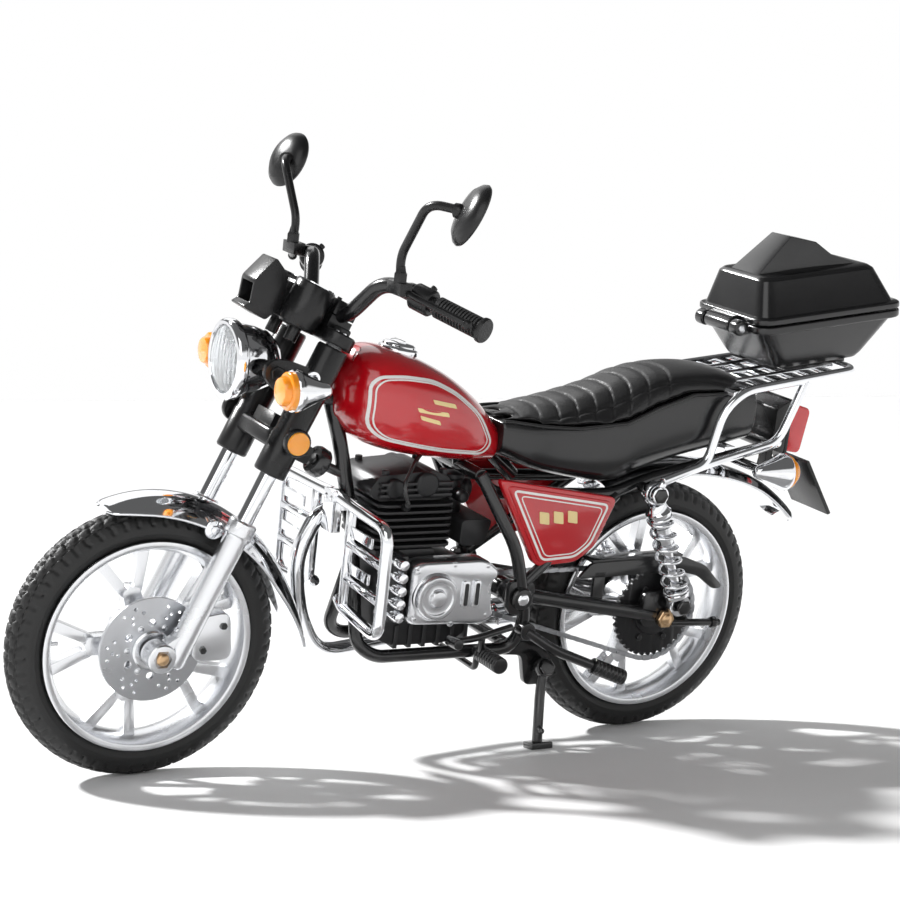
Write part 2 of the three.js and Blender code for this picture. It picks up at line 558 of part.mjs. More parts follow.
function cylinder() {
  const core = box([-5, -6, 49.2], [11, 6, 61]);
  const fins = [];
  for (let i = 0; i < 5; i += 1) fins.push(box([-7, -9.6, 50.6 + 2 * i], [12.2, 9.6, 51.6 + 2 * i]));
  return join(core, fins).translate(2.4, 0, 1.1);
}
function cylinderHead() {
  const block = panel(roundedOutline([[-4, 61.5], [15, 61.5], [16.4, 64], [14, 67.4], [0, 68.2], [-4.4, 66]], 1.4, 2),
    -8, 8);
  const caps = [rod([3, -9.4, 65.2], [3, 9.4, 65.2], 2.9, 12), rod([11, -9.2, 64.4], [11, 9.2, 64.4], 2.3, 12)];
  const port = rod([10, -4.8, 58.6], [13.4, -4.8, 58], 2.5, 10);
  return join(block, caps, port);
}
const downTubeRoom = bentTube(downTubeCourse, 2.1, { bend: 4, steps: 6, segments: 8 });
add('cylinder', cut(join(cylinder(), cylinderHead()), downTubeRoom), 'engineBlack');

const carburettor = join(rod([-5.3, 0, 62.8], [-12, 0, 61.4], 2.4, 12), rod([-8.4, 0, 65.2], [-8.4, 0, 56], 2.8, 12),
  rod([-8.4, 0, 61], [-8.4, 6.4, 61.4], 1.6, 10));
const airbox = panel(roundedOutline([[-6.8, 50.6], [-13.4, 50.6], [-15, 56.8], [-6.8, 56.8]], 1.4), -9, 9);
add('intake', join(carburettor, airbox), 'silver');

// Round chrome ribs stand on the left front of the crankcase.
function frontRibs() {
  const ribs = [box([8.6, 9, 35.4], [12.4, 14.2, 50.6])];
  for (let i = 0; i < 5; i += 1) ribs.push(rod([10.8, 9, 37.2 + 3 * i], [10.8, 17, 37.2 + 3 * i], 1.38, 10));
  return join(ribs);
}
add('crankcase', join(crankcase(), frontRibs()), 'engineBlack');

const exhaustCourse = [[15.2, -4.8, 57.6], [22.4, -4.8, 55.8], [26.9, -4.9, 46], [25.1, -5.4, 33], [18, -8, 21.2],
  [-12, -16.3, 20.8], [-28, -17, 24]];
const exhaustPipe = bentTube(exhaustCourse, 1.9, { bend: 8, steps: 16, segments: 8 });
const mufflerProfile = [[0, 0], [2, 0], [4.1, 8], [4.3, 50], [3.4, 56], [2.4, 56.6], [2.2, 54], [0, 54]];
function muffler() {
  const shell = new THREE.LatheGeometry(mufflerProfile.map(([radius, z]) => new THREE.Vector2(radius, z)), 16);
  shell.rotateZ(Math.PI / 2 - 0.09);
  const hanger = rod([-60, -16.6, 27.4], [-60, -12.8, 31], 1, 8);
  return join(solid(shell).translate(-24.5, -17, 23.6), hanger);
}
add('exhaust', join(exhaustPipe, muffler()), 'chrome');

// ---- guard bars --------------------------------------------------------------------------
const guard = { x: 21, inner: 8.8, outer: 26, low: 36.4, middle: 52.5, high: 60.8 };
function guardBar(side) {
  const at = (y, z, ahead = 0) => [guard.x + ahead, side * y, z];
  const loop = bentTube([at(1.4, guard.high + 0.4), at(guard.inner, guard.high), at(guard.outer, guard.high - 0.6),
    at(guard.outer, guard.low - 0.2), at(guard.inner - 0.4, guard.low + 1.4), at(6.2, guard.low + 3)],
    guardTubeRadius, { bend: 4.2, steps: 13 });
  const inner = rod(at(guard.inner, guard.high), at(guard.inner, guard.low + 1.6), guardTubeRadius - 0.15, 8);
  const rung = rod(at(guard.inner, guard.middle), at(guard.outer, guard.middle - 0.6), guardTubeRadius - 0.25, 8);
  return join(loop, inner, rung);
}
function guardBars() {
  const plate = box([20.2, -2.4, 53], [22.6, 2.4, 62.4]);
  const wings = box([15, -2.6, 58], [21, 2.6, 60.6]);
  return cut(join(plate, wings, sides(guardBar)), downTubeRoom);
}
add('guard_bars', guardBars(), 'chrome');
const horn = join(rod([24.8, 0, 68], [27.6, 0, 69.6], 3.4, 12), rod([20.2, 0, 66], [25, 0, 68.1], 1.1, 10));

// ---- tank, covers and seat ---------------------------------------------------------------
const tankStations = [[-15.4, 68.8, 78.4, 6.4, 2.4], [-9, 69, 84.4, 10, 2.4], [-1, 69.9, 89.6, 12.4, 2.5],
  [8, 71.2, 93.4, 13.8, 2.5], [15.6, 73, 95, 12.8, 2.4], [20.6, 75.6, 93.8, 10.4, 2.3], [23.4, 79, 90.4, 6.4, 2.1]];
function fuelTank() {
  const shell = hull(tankStations, { slices: 11, around: 16 });
  const tunnel = backboneSolid(2.4);
  const underside = box([-30, -3, 60], [18, 3, 76]);
  const neck = rod(forkPoint([stemOffset, 0, 48]), forkPoint([stemOffset, 0, 78]), 3.7, 14);
  const yokeSweep = rod(forkPoint([stemOffset, 0, 72.4]), forkPoint([stemOffset, 0, 90]), 5.6, 16);
  const yokeLow = rod(forkPoint([stemOffset, 0, 30]), forkPoint([stemOffset, 0, 53]), 5.4, 16);
  const tubeRoom = bentTube(downTubeCourse, 2.2, { bend: 4, steps: 6, segments: 8 });
  return cut(shell, tunnel, underside, neck, yokeSweep, yokeLow, tubeRoom);
}
add('fuel_tank', fuelTank(), 'redPaint');
const capProfile = [[0, 0], [4.4, 0], [4.4, 0.5], [3.9, 1], [2.8, 1.3], [0, 1.4]];
const capShell = new THREE.LatheGeometry(capProfile.map(([radius, z]) => new THREE.Vector2(radius, z)), 20);
add('fuel_cap', cut(solid(capShell.rotateX(Math.PI / 2).rotateY(-0.16)).translate(9, 0, 93.9),
  hull(tankStations.map(([x, low, high, half, power]) => [x, low, high + 0.3, half + 0.3, power]),
    { slices: 11, around: 16 })), 'chrome');

const sidePanel = [[-12.6, 67.2], [-45.2, 62], [-40.4, 50.6], [-35.6, 47], [-24.6, 46.4]];
function sideCoverPanel(side) {
  const y = (from, to) => (side > 0 ? [from, to] : [-to, -from]);
  const plate = panel(roundedOutline(sidePanel, 1.6), ...y(11.8, 13.6));
  const raised = panel(roundedOutline(sidePanel.map(([x, z]) => [-31 + (x + 31) * 0.9, 56.4 + (z - 56.4) * 0.88]), 1.4),
    ...y(13.4, 14));
  return join(plate, raised);
}
add('side_cover_left', cut(sideCoverPanel(1), frameWithRoom()), 'redPaint');
add('side_cover_right', cut(sideCoverPanel(-1), frameWithRoom()), 'redPaint');
function frameWithRoom() {
  return sides((side) => bentTube([[-22, side * 11.6, 26.4], [-23.6, side * 13.7, 34], [-19.4, side * 13.4, 50.5],
    [-9.4, side * 10.6, 67.8]], frameTubeRadius + 0.4, { bend: 4, steps: 10 }));
}

// The seat's black side skirt carries a padded top, split along the piping.
const seatStations = [[-15.2, 71, 80.6, 8.4, 3], [-24, 67.8, 81.2, 12.2, 3.4], [-36, 65.4, 83.4, 13.2, 3.6],
  [-45, 64.4, 86, 13.2, 3.6], [-52, 66.6, 88.8, 13, 3.6], [-62, 69.4, 91, 12.6, 3.6], [-74, 71.8, 91, 12, 3.4],
  [-84, 73.6, 88.2, 11, 3]];
const pipingLine = [[-10, 79.6], [-24, 78.7], [-33, 78.4], [-45.7, 79.6], [-54, 83], [-64, 86], [-90, 86.4]];
function seatParts() {
  const whole = hull(seatStations, { slices: 11, around: 16 });
  const upper = panel([...pipingLine, [-90, 110], [-10, 110]], -20, 16);
  const lower = panel([...[...pipingLine].reverse().map(([x, z]) => [x, z - gap]), [-10, 40], [-90, 40]].reverse(),
    -20, 20);
  const tankRoom = hull(tankStations.map(([x, low, high, half, power]) => [x - 0.4, low, high + 0.4, half + 0.4, power]),
    { slices: 11, around: 16 });
  const wheelRoom = rod([rearAxle.x, -7.4, rearAxle.z], [rearAxle.x, 7.4, rearAxle.z], 37.6, 32);
  const railRoom = sides((side) => bentTube([[-14, side * 8.6, 62.8], [-46, side * 8.6, 61.6],
    [-56, side * 8.8, 65.2], [-92, side * 8.2, 72.6]], frameTubeRadius + 0.4, { bend: 4, steps: 12 }));
  const cushion = cut(whole.intersect(upper), tankRoom);
  const skirt = cut(whole.intersect(lower), tankRoom, wheelRoom, railRoom, backboneSolid(2.3),
    rod([-9.6, -12, 67.4], [-9.6, 12, 67.4], 2, 10));
  return { cushion, skirt };
}
const { cushion, skirt } = seatParts();
add('seat_cushion', cushion, 'rubber');
add('seat_base', skirt, 'blackPlastic');

// ---- rear mudguard, rack, tail -----------------------------------------------------------
function rearMudguard() {
  const course = [[-46.8, 63.2], [-54, 65.6], [-64, 67.4], [-74, 67.6], [-84, 66], [-93, 63], [-100, 58.8],
    [-106.6, 53.4]];
  const line = new THREE.CatmullRomCurve3(course.map(([x, z]) => new THREE.Vector3(x, 0, z)));
  const rings = [];
  for (let i = 0; i <= 12; i += 1) {
    const middle = line.getPoint(i / 12);
    const along = line.getTangent(i / 12);
    const arch = (depth) => [-1, -0.8, -0.4, 0, 0.4, 0.8, 1].map((share) => {
      const drop = depth + 2.4 * Math.abs(share) ** 3;
      return [middle.x + along.z * -drop, 6.4 * share, middle.z + along.x * drop];
    });
    rings.push([...arch(0), ...arch(0.8).reverse()]);
  }
  return loft(rings);
}
const mudguardSolid = rearMudguard();
add('rear_mudguard', cut(mudguardSolid, rod([-91.4, -9, 72.5], [-91.4, 9, 72.5], 1.7, 10)), 'chrome');

const rackHalf = 14.6;
function luggageRack() {
  const rail = (side) => bentTube([[-54.6, side * 17, 66.6], [-68.4, side * rackHalf, 69.8], [-71.2, side * rackHalf, 82.6],
    [-76.6, side * rackHalf, 87.4], [-110.6, side * 13, 92.2], [-110.8, side * 4, 92.2]],
    rackTubeRadius, { bend: 3.6, steps: 15, segments: 5 });
  const lower = (side) => bentTube([[-54.6, side * 17, 66.6], [-68.4, side * rackHalf, 69.8], [-89.4, side * 13.6, 74.6],
    [-95.2, side * 13.8, 89.6]], rackTubeRadius, { bend: 3.6, steps: 10, segments: 5 });
  const rear = rod([-110.8, -5, 92.2], [-110.8, 5, 92.2], rackTubeRadius, 8);
  const bars = [[-84, 88.5], [-94, 90], [-104, 91.3]].map(([x, z]) =>
    rod([x, -14, z], [x, 14, z], rackTubeRadius * 0.85, 6));
  const deck = [-7, 0, 7].map((y) => rod([-74, y, 87.6], [-108, y, 92.4], 0.7, 6));
  const front = rod([-74.6, -14.4, 86.4], [-74.6, 14.4, 86.4], rackTubeRadius * 0.85, 8);
  const eyes = sides((side) => cut(rod([shockTop.x, side * 16.2, shockTop.z], [shockTop.x, side * 17.9, shockTop.z],
    2.2), rod([shockTop.x, side * 15, shockTop.z], [shockTop.x, side * 19, shockTop.z], 1.5, 10)));
  const links = sides((side) => rod([shockTop.x, side * 17.2, shockTop.z + 1.8], [-55, side * 17, 66.6], 0.9, 8));
  const feet = sides((side) => rod([-89.4, side * 13.6, 74.4], [-91.4, side * 9.8, 73], 1, 8));
  return join([1, -1].map(rail), [1, -1].map(lower), rear, bars, deck, front, eyes, links, feet);
}
const seatRoom = hull(seatStations.map(([x, low, high, half, power]) => [x, low, high + 0.4, half + 0.4, power]),
  { slices: 11, around: 16 });
add('luggage_rack', cut(luggageRack(), seatRoom), 'chrome');

const tailLens = panel(roundedOutline([[-98.4, 70.2], [-103.4, 69.4], [-105.2, 80.6], [-98.4, 82.4]], 1.2, 2), -5.4, 5.4);
add('tail_lens', tailLens, 'redLens');
const tailHousing = panel([[-94.4, 70.6], [-98, 69.8], [-98, 82.8], [-94.4, 80.8]], -5.8, 5.8);
const plateOutline = [[-104.4, 67.6], [-105.4, 68], [-114.8, 54.2], [-113.8, 53.8]];
const plateArm = join(box([-107, -1.6, 65], [-96.4, 1.6, 67]), box([-98.3, -1.6, 65], [-96.4, 1.6, 71]));
add('tail_housing', join(tailHousing, panel(plateOutline, -7.4, 7.4), plateArm), 'blackPlastic');
add('rear_signals', rearSignals(), 'chrome');

// ---- footrests, levers and stand ---------------------------------------------------------
// The left peg hangs low behind the stand, the right one stays above the silencer.
function pillionPeg(side) {
  const end = side > 0 ? [-49.5, 18.4, 19.6] : [-45, -18.4, 33.6];
  const knee = side > 0 ? [-30, 16.4, 27.2] : [-30, -16.4, 33.2];
  const direction = new THREE.Vector3(...end).sub(new THREE.Vector3(...knee)).normalize();
  const back = end.map((value, axis) => value - 9 * direction.getComponent(axis));
  const arm = bentTube([[-23.4, side * 15.2, 31.6], knee, end], 1.25, { bend: 4, steps: 6 });
  const foot = rod([-23.4, side * 13, 31.6], [-23.4, side * 16, 31.6], 2, 10);
  return join(arm, rod(back, end, 1.9, 12), foot);
}

const standPivot = { x: -31, y: 11.8, z: 21 };
const standBracket = panel(roundedOutline([[-19, 24.6], [-19, 28], [-33, 27], [-35, 16.5], [-27.6, 16.5], [-26, 24]], 1.4,
  2), 8.6, 10.5);
const standPoint = (along) => [standPivot.x, standPivot.y + 0.925 * along, standPivot.z + 0.381 * along];
const standPin = join(rod(standPoint(-3), standPoint(3), 1.05), rod(standPoint(2.3), standPoint(3.1), 2, 14));
add('main_frame', join(cut(frameSolid, pivotBore), pivotBolt, pivotHeads, cut(horn, stemBore), pillionPeg(1),
  pillionPeg(-1), standBracket, standPin), 'blackFrame');

function sideStand() {
  const footY = 18.4;
  const groundZ = (footY * Math.sin(leanAngle) - placeOnFloor[2]) / Math.cos(leanAngle);
  const eye = rod(standPoint(-0.1), standPoint(1.9), 2.3, 14);
  const leg = bentTube([standPoint(0.9), [-30, 13.8, 16], [-28, footY - 0.3, groundZ + 1.3]], 1.2,
    { bend: 3, steps: 8, segments: 8 });
  const foot = box([-3.2, -2.2, 0], [2.4, 1.8, 1.6]).rotate([THREE.MathUtils.radToDeg(leanAngle), 0, 0])
    .translate(-28, footY, groundZ);
  const tang = rod([-29, footY - 1.6, 8.6], [-26.6, footY + 3.4, 9.2], 0.7, 8);
  const bore = rod(standPoint(-2), standPoint(4), 1.35);
  return cut(join(eye, leg, foot, tang), bore);
}
add('side_stand', sideStand(), 'blackFrame');

function footControls() {
  const rest = { x: -12, z: 27 };
  const crossBar = bentTube([[rest.x, -13.3, rest.z], [rest.x, -13.3, 22.8], [rest.x, 13.3, 22.8],
    [rest.x, 13.3, rest.z]], 0.75, { bend: 1.5, steps: 10 });
  const rests = sides((side) => rod([rest.x, side * 12.8, rest.z], [rest.x, side * 24, rest.z], 1.9, 10));
  const gearLever = join(bentTube([[-19, 15.6, 33], [-9, 17.4, 31.6], [-3.4, 18.4, 31.6], [-1.4, 18.8, 32]], 0.8,
    { bend: 3, steps: 8 }), rod([-1.2, 18.4, 32], [-1.2, 23, 32.4], 1.2, 10));
  const link = rod([rest.x + 1, 16.4, rest.z + 1], [-10.6, 17, 32], 0.8, 8);
  const brakePedal = bentTube([[rest.x, -14.6, rest.z], [-4, -17.6, 28.6], [4, -19, 30], [6, -21, 30.6]], 0.9,
    { bend: 4, steps: 8 });
  return join(crossBar, rests, gearLever, link, brakePedal);
}
add('foot_controls', footControls(), 'blackPlastic');

// ---- swing arm, chain and shocks ---------------------------------------------------------
function swingArm() {
  const sleeve = rod([swingPivot.x, -8.6, swingPivot.z], [swingPivot.x, 8.6, swingPivot.z], 2.6, 12);
  const arm = (side) => rod([swingPivot.x, side * swingArmHalfSpan, swingPivot.z],
    [rearAxle.x + 1, side * swingArmHalfSpan, rearAxle.z], 1.9, 10);
  const eye = (side) => rod([swingPivot.x, side * 8.4, swingPivot.z], [swingPivot.x, side * 11.4, swingPivot.z], 2.9, 12);
  const end = (side) => panel(roundedOutline([[-58, 29], [-58, 37.6], [-68.4, 38], [-71, 33.6], [-71, 28.6]], 2, 3),
    side > 0 ? 9.2 : -11.4, side > 0 ? 11.4 : -9.2);
  const brace = rod([-28.6, -swingArmHalfSpan, 37.9], [-28.6, swingArmHalfSpan, 37.9], 1.5, 10);
  const pin = (side) => rod([shockFoot.x, side * 10.6, shockFoot.z], [shockFoot.x, side * 17.2, shockFoot.z], 1.2, 10);
  const adjuster = (side) => rod([-66, side * 12, 30], [-81, side * 12, 29.2], 0.9, 10);
  const guard = panel([[-39.5, 41.6], [-43, 45.2], [-60.6, 45.6], [-68.7, 45.8], [-76, 43.2], [-82, 37.4], [-79, 37],
    [-74, 40.6], [-68, 42.2], [-46, 41.6]], 8.8, 10);
  const lip = panel([[-43, 45.2], [-60.6, 45.6], [-68.7, 45.8], [-68.7, 46.6], [-60.6, 46.4], [-43, 46]], 5.6, 10);
  const tabs = [box([-47, 8.8, 34], [-44, 10, 43]), box([-67, 8.8, 37], [-64, 10, 43])];
  const bores = [rod([swingPivot.x, -20, swingPivot.z], [swingPivot.x, 20, swingPivot.z], 1.6, 12),
    rod([rearAxle.x, -20, rearAxle.z], [rearAxle.x, 20, rearAxle.z], axleRadius + gap / 2, 12)];
  return cut(join(sleeve, brace, guard, lip, tabs, [arm, eye, end, pin, adjuster].flatMap(sides)), bores);
}
add('swing_arm', swingArm(), 'blackFrame');

const frontSprocket = { x: -18.2, z: 38.6 };
function beltOutline(bigRadius, smallRadius) {
  const across = new THREE.Vector2(frontSprocket.x - rearAxle.x, frontSprocket.z - rearAxle.z);
  const heading = across.angle();
  const lift = Math.acos((bigRadius - smallRadius) / across.length());
  const arc = (centre, radius, from, to, steps) => Array.from({ length: steps + 1 }, (_, i) => {
    const angle = from + ((to - from) * i) / steps;
    return [centre.x + radius * Math.cos(angle), centre.z + radius * Math.sin(angle)];
  });
  return [...arc(rearAxle, bigRadius, heading + lift, heading + 2 * Math.PI - lift, 24),
    ...arc(frontSprocket, smallRadius, heading - lift, heading + lift, 10)];
}
add('drive_chain', panel(beltOutline(12.3, 5.1), 6.1, 7.5, [beltOutline(11.3, 4.2)]), 'engineBlack');

const shockAxis = new THREE.Vector3(shockTop.x - shockFoot.x, 0, shockTop.z - shockFoot.z);
const shockLength = shockAxis.length();
for (const side of [1, -1]) {
  const hand = side > 0 ? 'left' : 'right';
  const shock = new THREE.Group();
  shock.position.set(shockFoot.x, side * shockHalfSpan, shockFoot.z);
  shock.rotation.y = Math.atan2(shockAxis.x, shockAxis.z);
  leaning.add(shock);
  const eye = (s) => rod([0, side * -1.7, s], [0, side * 0.9, s], 2.8, 12);
  const eyeBore = (s) => rod([0, -5, s], [0, 5, s], 1.5, 12);
  const body = join(eye(0), rod([0, 0, 1.8], [0, 0, 18.5], 1.25, 12), rod([0, 0, 2.4], [0, 0, 3.8], 3, 14));
  add(`shock_body_${hand}`, cut(body, eyeBore(0)), 'chrome', shock);
  const top = shockLength;
  const sleeve = join(eye(top), rod([0, 0, top - 15.4], [0, 0, top - 2.5], 2, 10),
    rod([0, 0, top - 5.8], [0, 0, top - 4.6], 3, 12));
  add(`shock_sleeve_${hand}`, cut(sleeve, eyeBore(top), rod([0, 0, 0], [0, 0, top - 5], 1.6, 12)), 'chrome', shock);
  const springLow = 6.8;
  const springHigh = top - 6.4;
  const turns = 7;
  class Helix extends THREE.Curve {
    getPoint(t, target = new THREE.Vector3()) {
      const angle = t * turns * 2 * Math.PI;
      return target.set(2.8 * Math.cos(angle), 2.8 * Math.sin(angle), springLow + (springHigh - springLow) * t);
    }
  }
  const wire = new THREE.Shape([[0.45, 0], [0, 0.45], [-0.45, 0], [0, -0.45]].map(([x, y]) => new THREE.Vector2(x, y)));
  const spring = new THREE.ExtrudeGeometry(wire, { steps: turns * 6, extrudePath: new Helix(), bevelEnabled: false });
  add(`shock_spring_${hand}`, solid(spring), 'chrome', shock);
}

// ---- top box -----------------------------------------------------------------------------
// In the box's own frame: x from the hinge line, z up from the rim.
function topBoxBase() {
  const outer = loft([boxRing(-8.6, -33.4, 10.6, -10.9, 3), boxRing(-7.6, -34.8, 11.4, -9.6, 3.4),
    boxRing(-2.6, -42.4, 13, -1.6, 4.2), boxRing(-1.2, -44.6, 13.9, -1.6, 4.4), boxRing(-1.2, -44.6, 13.9, 0.3, 4.4)]);
  const inside = loft([boxRing(-9, -33.4, 9.8, -9.4, 2.6), boxRing(-4, -41, 11.6, -1.6, 3.4),
    boxRing(-4, -41, 11.6, 2, 3.4)]);
  const knuckles = sides((side) => rod([0.6, side * 8.4, -0.4], [0.6, side * 5.4, -0.4], 1.9, 12));
  const webs = sides((side) => box([-2.4, side * 6.9 - 1.5, -2], [0.4, side * 6.9 + 1.5, 0.2]));
  const pinBore = rod([0.6, -12, -0.4], [0.6, 12, -0.4], 0.95, 10);
  const lidRoom = rod([0.6, -5, -0.4], [0.6, 5, -0.4], 2.3, 12);
  return cut(join(outer, knuckles, webs), inside, pinBore, lidRoom);
}
function topBoxLid() {
  const outer = loft([boxRing(-1.2, -44.6, 13.9, 0.6, 4.4), boxRing(-1.4, -44.4, 13.7, 2.2, 4.3),
    boxRing(-2.4, -43, 12.7, 2.3, 4), boxRing(-4.4, -38.6, 10, 10.4, 3.4), boxRing(-5.2, -37.4, 9, 11.2, 3)]);
  const hump = panel([[-4.8, 10.6], [-17, 19.4], [-24.6, 17.2], [-29, 13.6], [-36.6, 10.8]], -5.6, 5.6);
  const inside = loft([boxRing(-4, -41, 11.6, 0, 3.4), boxRing(-4.4, -40.6, 11.2, 2.6, 3.2),
    boxRing(-6, -36.8, 8.6, 9.4, 2.6)]);
  const knuckle = join(rod([0.6, -4.8, -0.4], [0.6, 4.8, -0.4], 1.7, 12), box([-2, -4.6, 0.7], [0.9, 4.6, 2]),
    box([-0.4, -4.6, -0.4], [1.6, 4.6, 1.6]));
  const pinBore = rod([0.6, -12, -0.4], [0.6, 12, -0.4], 0.95, 10);
  return cut(join(outer, hump, knuckle), inside, pinBore);
}
add('top_box_base', topBoxBase(), 'blackPlastic', topBox);
add('top_box_lid', topBoxLid(), 'blackPlastic', topBox);
add('hinge_pin', rod([0.6, -8.8, -0.4], [0.6, 8.8, -0.4], 0.65, 10), 'silver', topBox);

export default motorcycle;
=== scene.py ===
import math
import bpy
import bmesh
from mathutils import Matrix, Vector


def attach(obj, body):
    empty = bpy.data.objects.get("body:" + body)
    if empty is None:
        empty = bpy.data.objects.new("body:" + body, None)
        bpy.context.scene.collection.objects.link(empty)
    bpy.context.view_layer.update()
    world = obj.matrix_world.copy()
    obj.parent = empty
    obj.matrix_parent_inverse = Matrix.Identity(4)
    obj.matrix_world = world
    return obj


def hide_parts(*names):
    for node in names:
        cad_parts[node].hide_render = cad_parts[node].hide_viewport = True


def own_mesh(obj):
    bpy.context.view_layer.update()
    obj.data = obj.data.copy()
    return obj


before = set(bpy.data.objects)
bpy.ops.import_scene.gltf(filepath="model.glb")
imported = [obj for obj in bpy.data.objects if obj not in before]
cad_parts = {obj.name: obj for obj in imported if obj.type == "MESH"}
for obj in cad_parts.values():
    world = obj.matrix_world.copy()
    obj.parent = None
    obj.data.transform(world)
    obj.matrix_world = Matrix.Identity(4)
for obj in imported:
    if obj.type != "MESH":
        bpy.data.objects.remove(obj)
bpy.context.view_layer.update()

# ---- places: millimetres on the upright machine, turned into the leaning row frame
LEAN = math.radians(12.4)
RAKE = math.radians(24.5)
BIKE = Matrix.Scale(0.001, 4) @ Matrix.Translation((14.52, -27.91, 0.11)) @ Matrix.Rotation(-LEAN, 4,
    "X")
FORK = BIKE @ Matrix.Translation((60.2, 0, 30)) @ Matrix.Rotation(-RAKE, 4, "Y")
CASE = BIKE @ Matrix.Translation((-78.6, 0, 101.6)) @ Matrix.Rotation(math.radians(7.5), 4, "Y")
FRONT = (64, 0, 30)
REAR = (-64, 0, 31.2)
SIDES = (("left", 1), ("right", -1))


# ---- materials
def material(name, color, rough=0.4, metal=0.0, grain=None, bump=0.0, vary=0.0, rough_vary=0.0, edge_highlight=0.0,
        **sockets):
    mat = bpy.data.materials.new(name)
    mat.use_nodes = True
    tree = mat.node_tree
    shader = tree.nodes["Principled BSDF"]
    shader.inputs["Base Color"].default_value = (*color, 1)
    shader.inputs["Roughness"].default_value = rough
    shader.inputs["Metallic"].default_value = metal
    for key, value in sockets.items():
        shader.inputs[key.replace("_", " ")].default_value = value
    coord = tree.nodes.new("ShaderNodeTexCoord")
    noise = tree.nodes.new("ShaderNodeTexNoise")
    noise.inputs["Scale"].default_value = 90
    noise.inputs["Detail"].default_value = 5
    tree.links.new(coord.outputs["Object"], noise.inputs["Vector"])
    if vary or edge_highlight:
        ramp = tree.nodes.new("ShaderNodeMixRGB")
        ramp.inputs[1].default_value = (*[c * (1 - vary) for c in color], 1)
        ramp.inputs[2].default_value = (*[min(1, c * (1 + vary) + 0.01 * vary) for c in color], 1)
        tree.links.new(noise.outputs["Fac"], ramp.inputs[0])
        out = ramp.outputs[0]
        # painted highlight: convex edges, found by pointiness, get a lighter base colour that stands in
        # for the glints along glossy edges
        if edge_highlight:
            geo = tree.nodes.new("ShaderNodeNewGeometry")
            edge = tree.nodes.new("ShaderNodeMapRange")
            edge.inputs["From Min"].default_value = 0.53
            edge.inputs["From Max"].default_value = 0.62
            edge.inputs["To Max"].default_value = edge_highlight
            tree.links.new(geo.outputs["Pointiness"], edge.inputs["Value"])
            edge_highlight_mix = tree.nodes.new("ShaderNodeMixRGB")
            edge_highlight_mix.inputs[2].default_value = (*[min(1, c * 1.8 + 0.08) for c in color], 1)
            tree.links.new(edge.outputs["Result"], edge_highlight_mix.inputs[0])
            tree.links.new(out, edge_highlight_mix.inputs[1])
            out = edge_highlight_mix.outputs[0]
        tree.links.new(out, shader.inputs["Base Color"])
    if rough_vary:
        spread = tree.nodes.new("ShaderNodeMapRange")
        spread.inputs["To Min"].default_value = rough - rough_vary
        spread.inputs["To Max"].default_value = rough + rough_vary
        tree.links.new(noise.outputs["Fac"], spread.inputs["Value"])
        tree.links.new(spread.outputs["Result"], shader.inputs["Roughness"])
    if grain:
        kind, scale = grain
        fine = tree.nodes.new(kind)
        fine.inputs["Scale"].default_value = scale
        tree.links.new(coord.outputs["Object"], fine.inputs["Vector"])
        relief = tree.nodes.new("ShaderNodeBump")
        relief.inputs["Strength"].default_value = bump
        relief.inputs["Distance"].default_value = 0.0001
        tree.links.new(fine.outputs[0], relief.inputs["Height"])
        tree.links.new(relief.outputs["Normal"], shader.inputs["Normal"])
    return mat


NOISE = "ShaderNodeTexNoise"
CELLS = "ShaderNodeTexVoronoi"
RED = material("gloss_red_lacquer", (0.5, 0.002, 0.008), 0.22, 0.0, (NOISE, 1500), 0.06, vary=0.08,
    rough_vary=0.04, Coat_Weight=1.0, Coat_Roughness=0.04)
CHROME = material("bright_chrome", (0.86, 0.87, 0.89), 0.07, 1.0, (NOISE, 700), 0.03, vary=0.03,
    rough_vary=0.03)
SILVER = material("cast_silver", (0.78, 0.79, 0.81), 0.26, 1.0, (NOISE, 3500), 0.16, vary=0.06,
    rough_vary=0.06)
BRUSHED = material("satin_steel", (0.55, 0.56, 0.58), 0.3, 1.0, (NOISE, 5000), 0.12, vary=0.08,
    rough_vary=0.08)
# the four blacks below carry painted edge highlights: a lighter colour on their convex edges
FRAME_BLACK = material("black_enamel", (0.006, 0.006, 0.0065), 0.22, 0.0, (NOISE, 2500), 0.08, vary=0.2,
    rough_vary=0.06, edge_highlight=0.25, Coat_Weight=0.4, Coat_Roughness=0.15)
PLASTIC = material("moulded_black_plastic", (0.006, 0.006, 0.0065), 0.27, 0.0, (NOISE, 4200), 0.22,
    vary=0.2, rough_vary=0.06, edge_highlight=0.12, Specular_IOR_Level=0.4)
CASE_BLACK = material("satin_case_black", (0.006, 0.006, 0.0065), 0.22, 0.0, (NOISE, 5200), 0.15,
    vary=0.2, rough_vary=0.05, edge_highlight=0.12, Coat_Weight=0.25, Coat_Roughness=0.2)
ENGINE_BLACK = material("engine_black", (0.009, 0.009, 0.01), 0.36, 0.25, (NOISE, 3800), 0.3, vary=0.3,
    rough_vary=0.08, edge_highlight=0.4)
TYRE = material("tyre_rubber", (0.006, 0.006, 0.006), 0.5, 0.0, (NOISE, 3200), 0.35, vary=0.3,
    rough_vary=0.1)
GRIP = material("grip_rubber", (0.007, 0.007, 0.0075), 0.45, 0.0, (CELLS, 2600), 0.3, vary=0.2,
    rough_vary=0.08)
VINYL = material("seat_vinyl", (0.006, 0.006, 0.0065), 0.38, 0.0, (CELLS, 1900), 0.3, vary=0.25,
    rough_vary=0.07, Sheen_Weight=0.06)
AMBER = material("amber_lens", (0.95, 0.32, 0.01), 0.12, 0.0, (CELLS, 1300), 0.3, vary=0.1,
    rough_vary=0.03, Coat_Weight=1.0, Coat_Roughness=0.03, Subsurface_Weight=0.3, Subsurface_Scale=0.002)
TAIL_RED = material("red_lens", (0.6, 0.006, 0.012), 0.12, 0.0, (CELLS, 1200), 0.3, vary=0.12,
    rough_vary=0.03, Coat_Weight=1.0, Coat_Roughness=0.03, Subsurface_Weight=0.3, Subsurface_Scale=0.002)
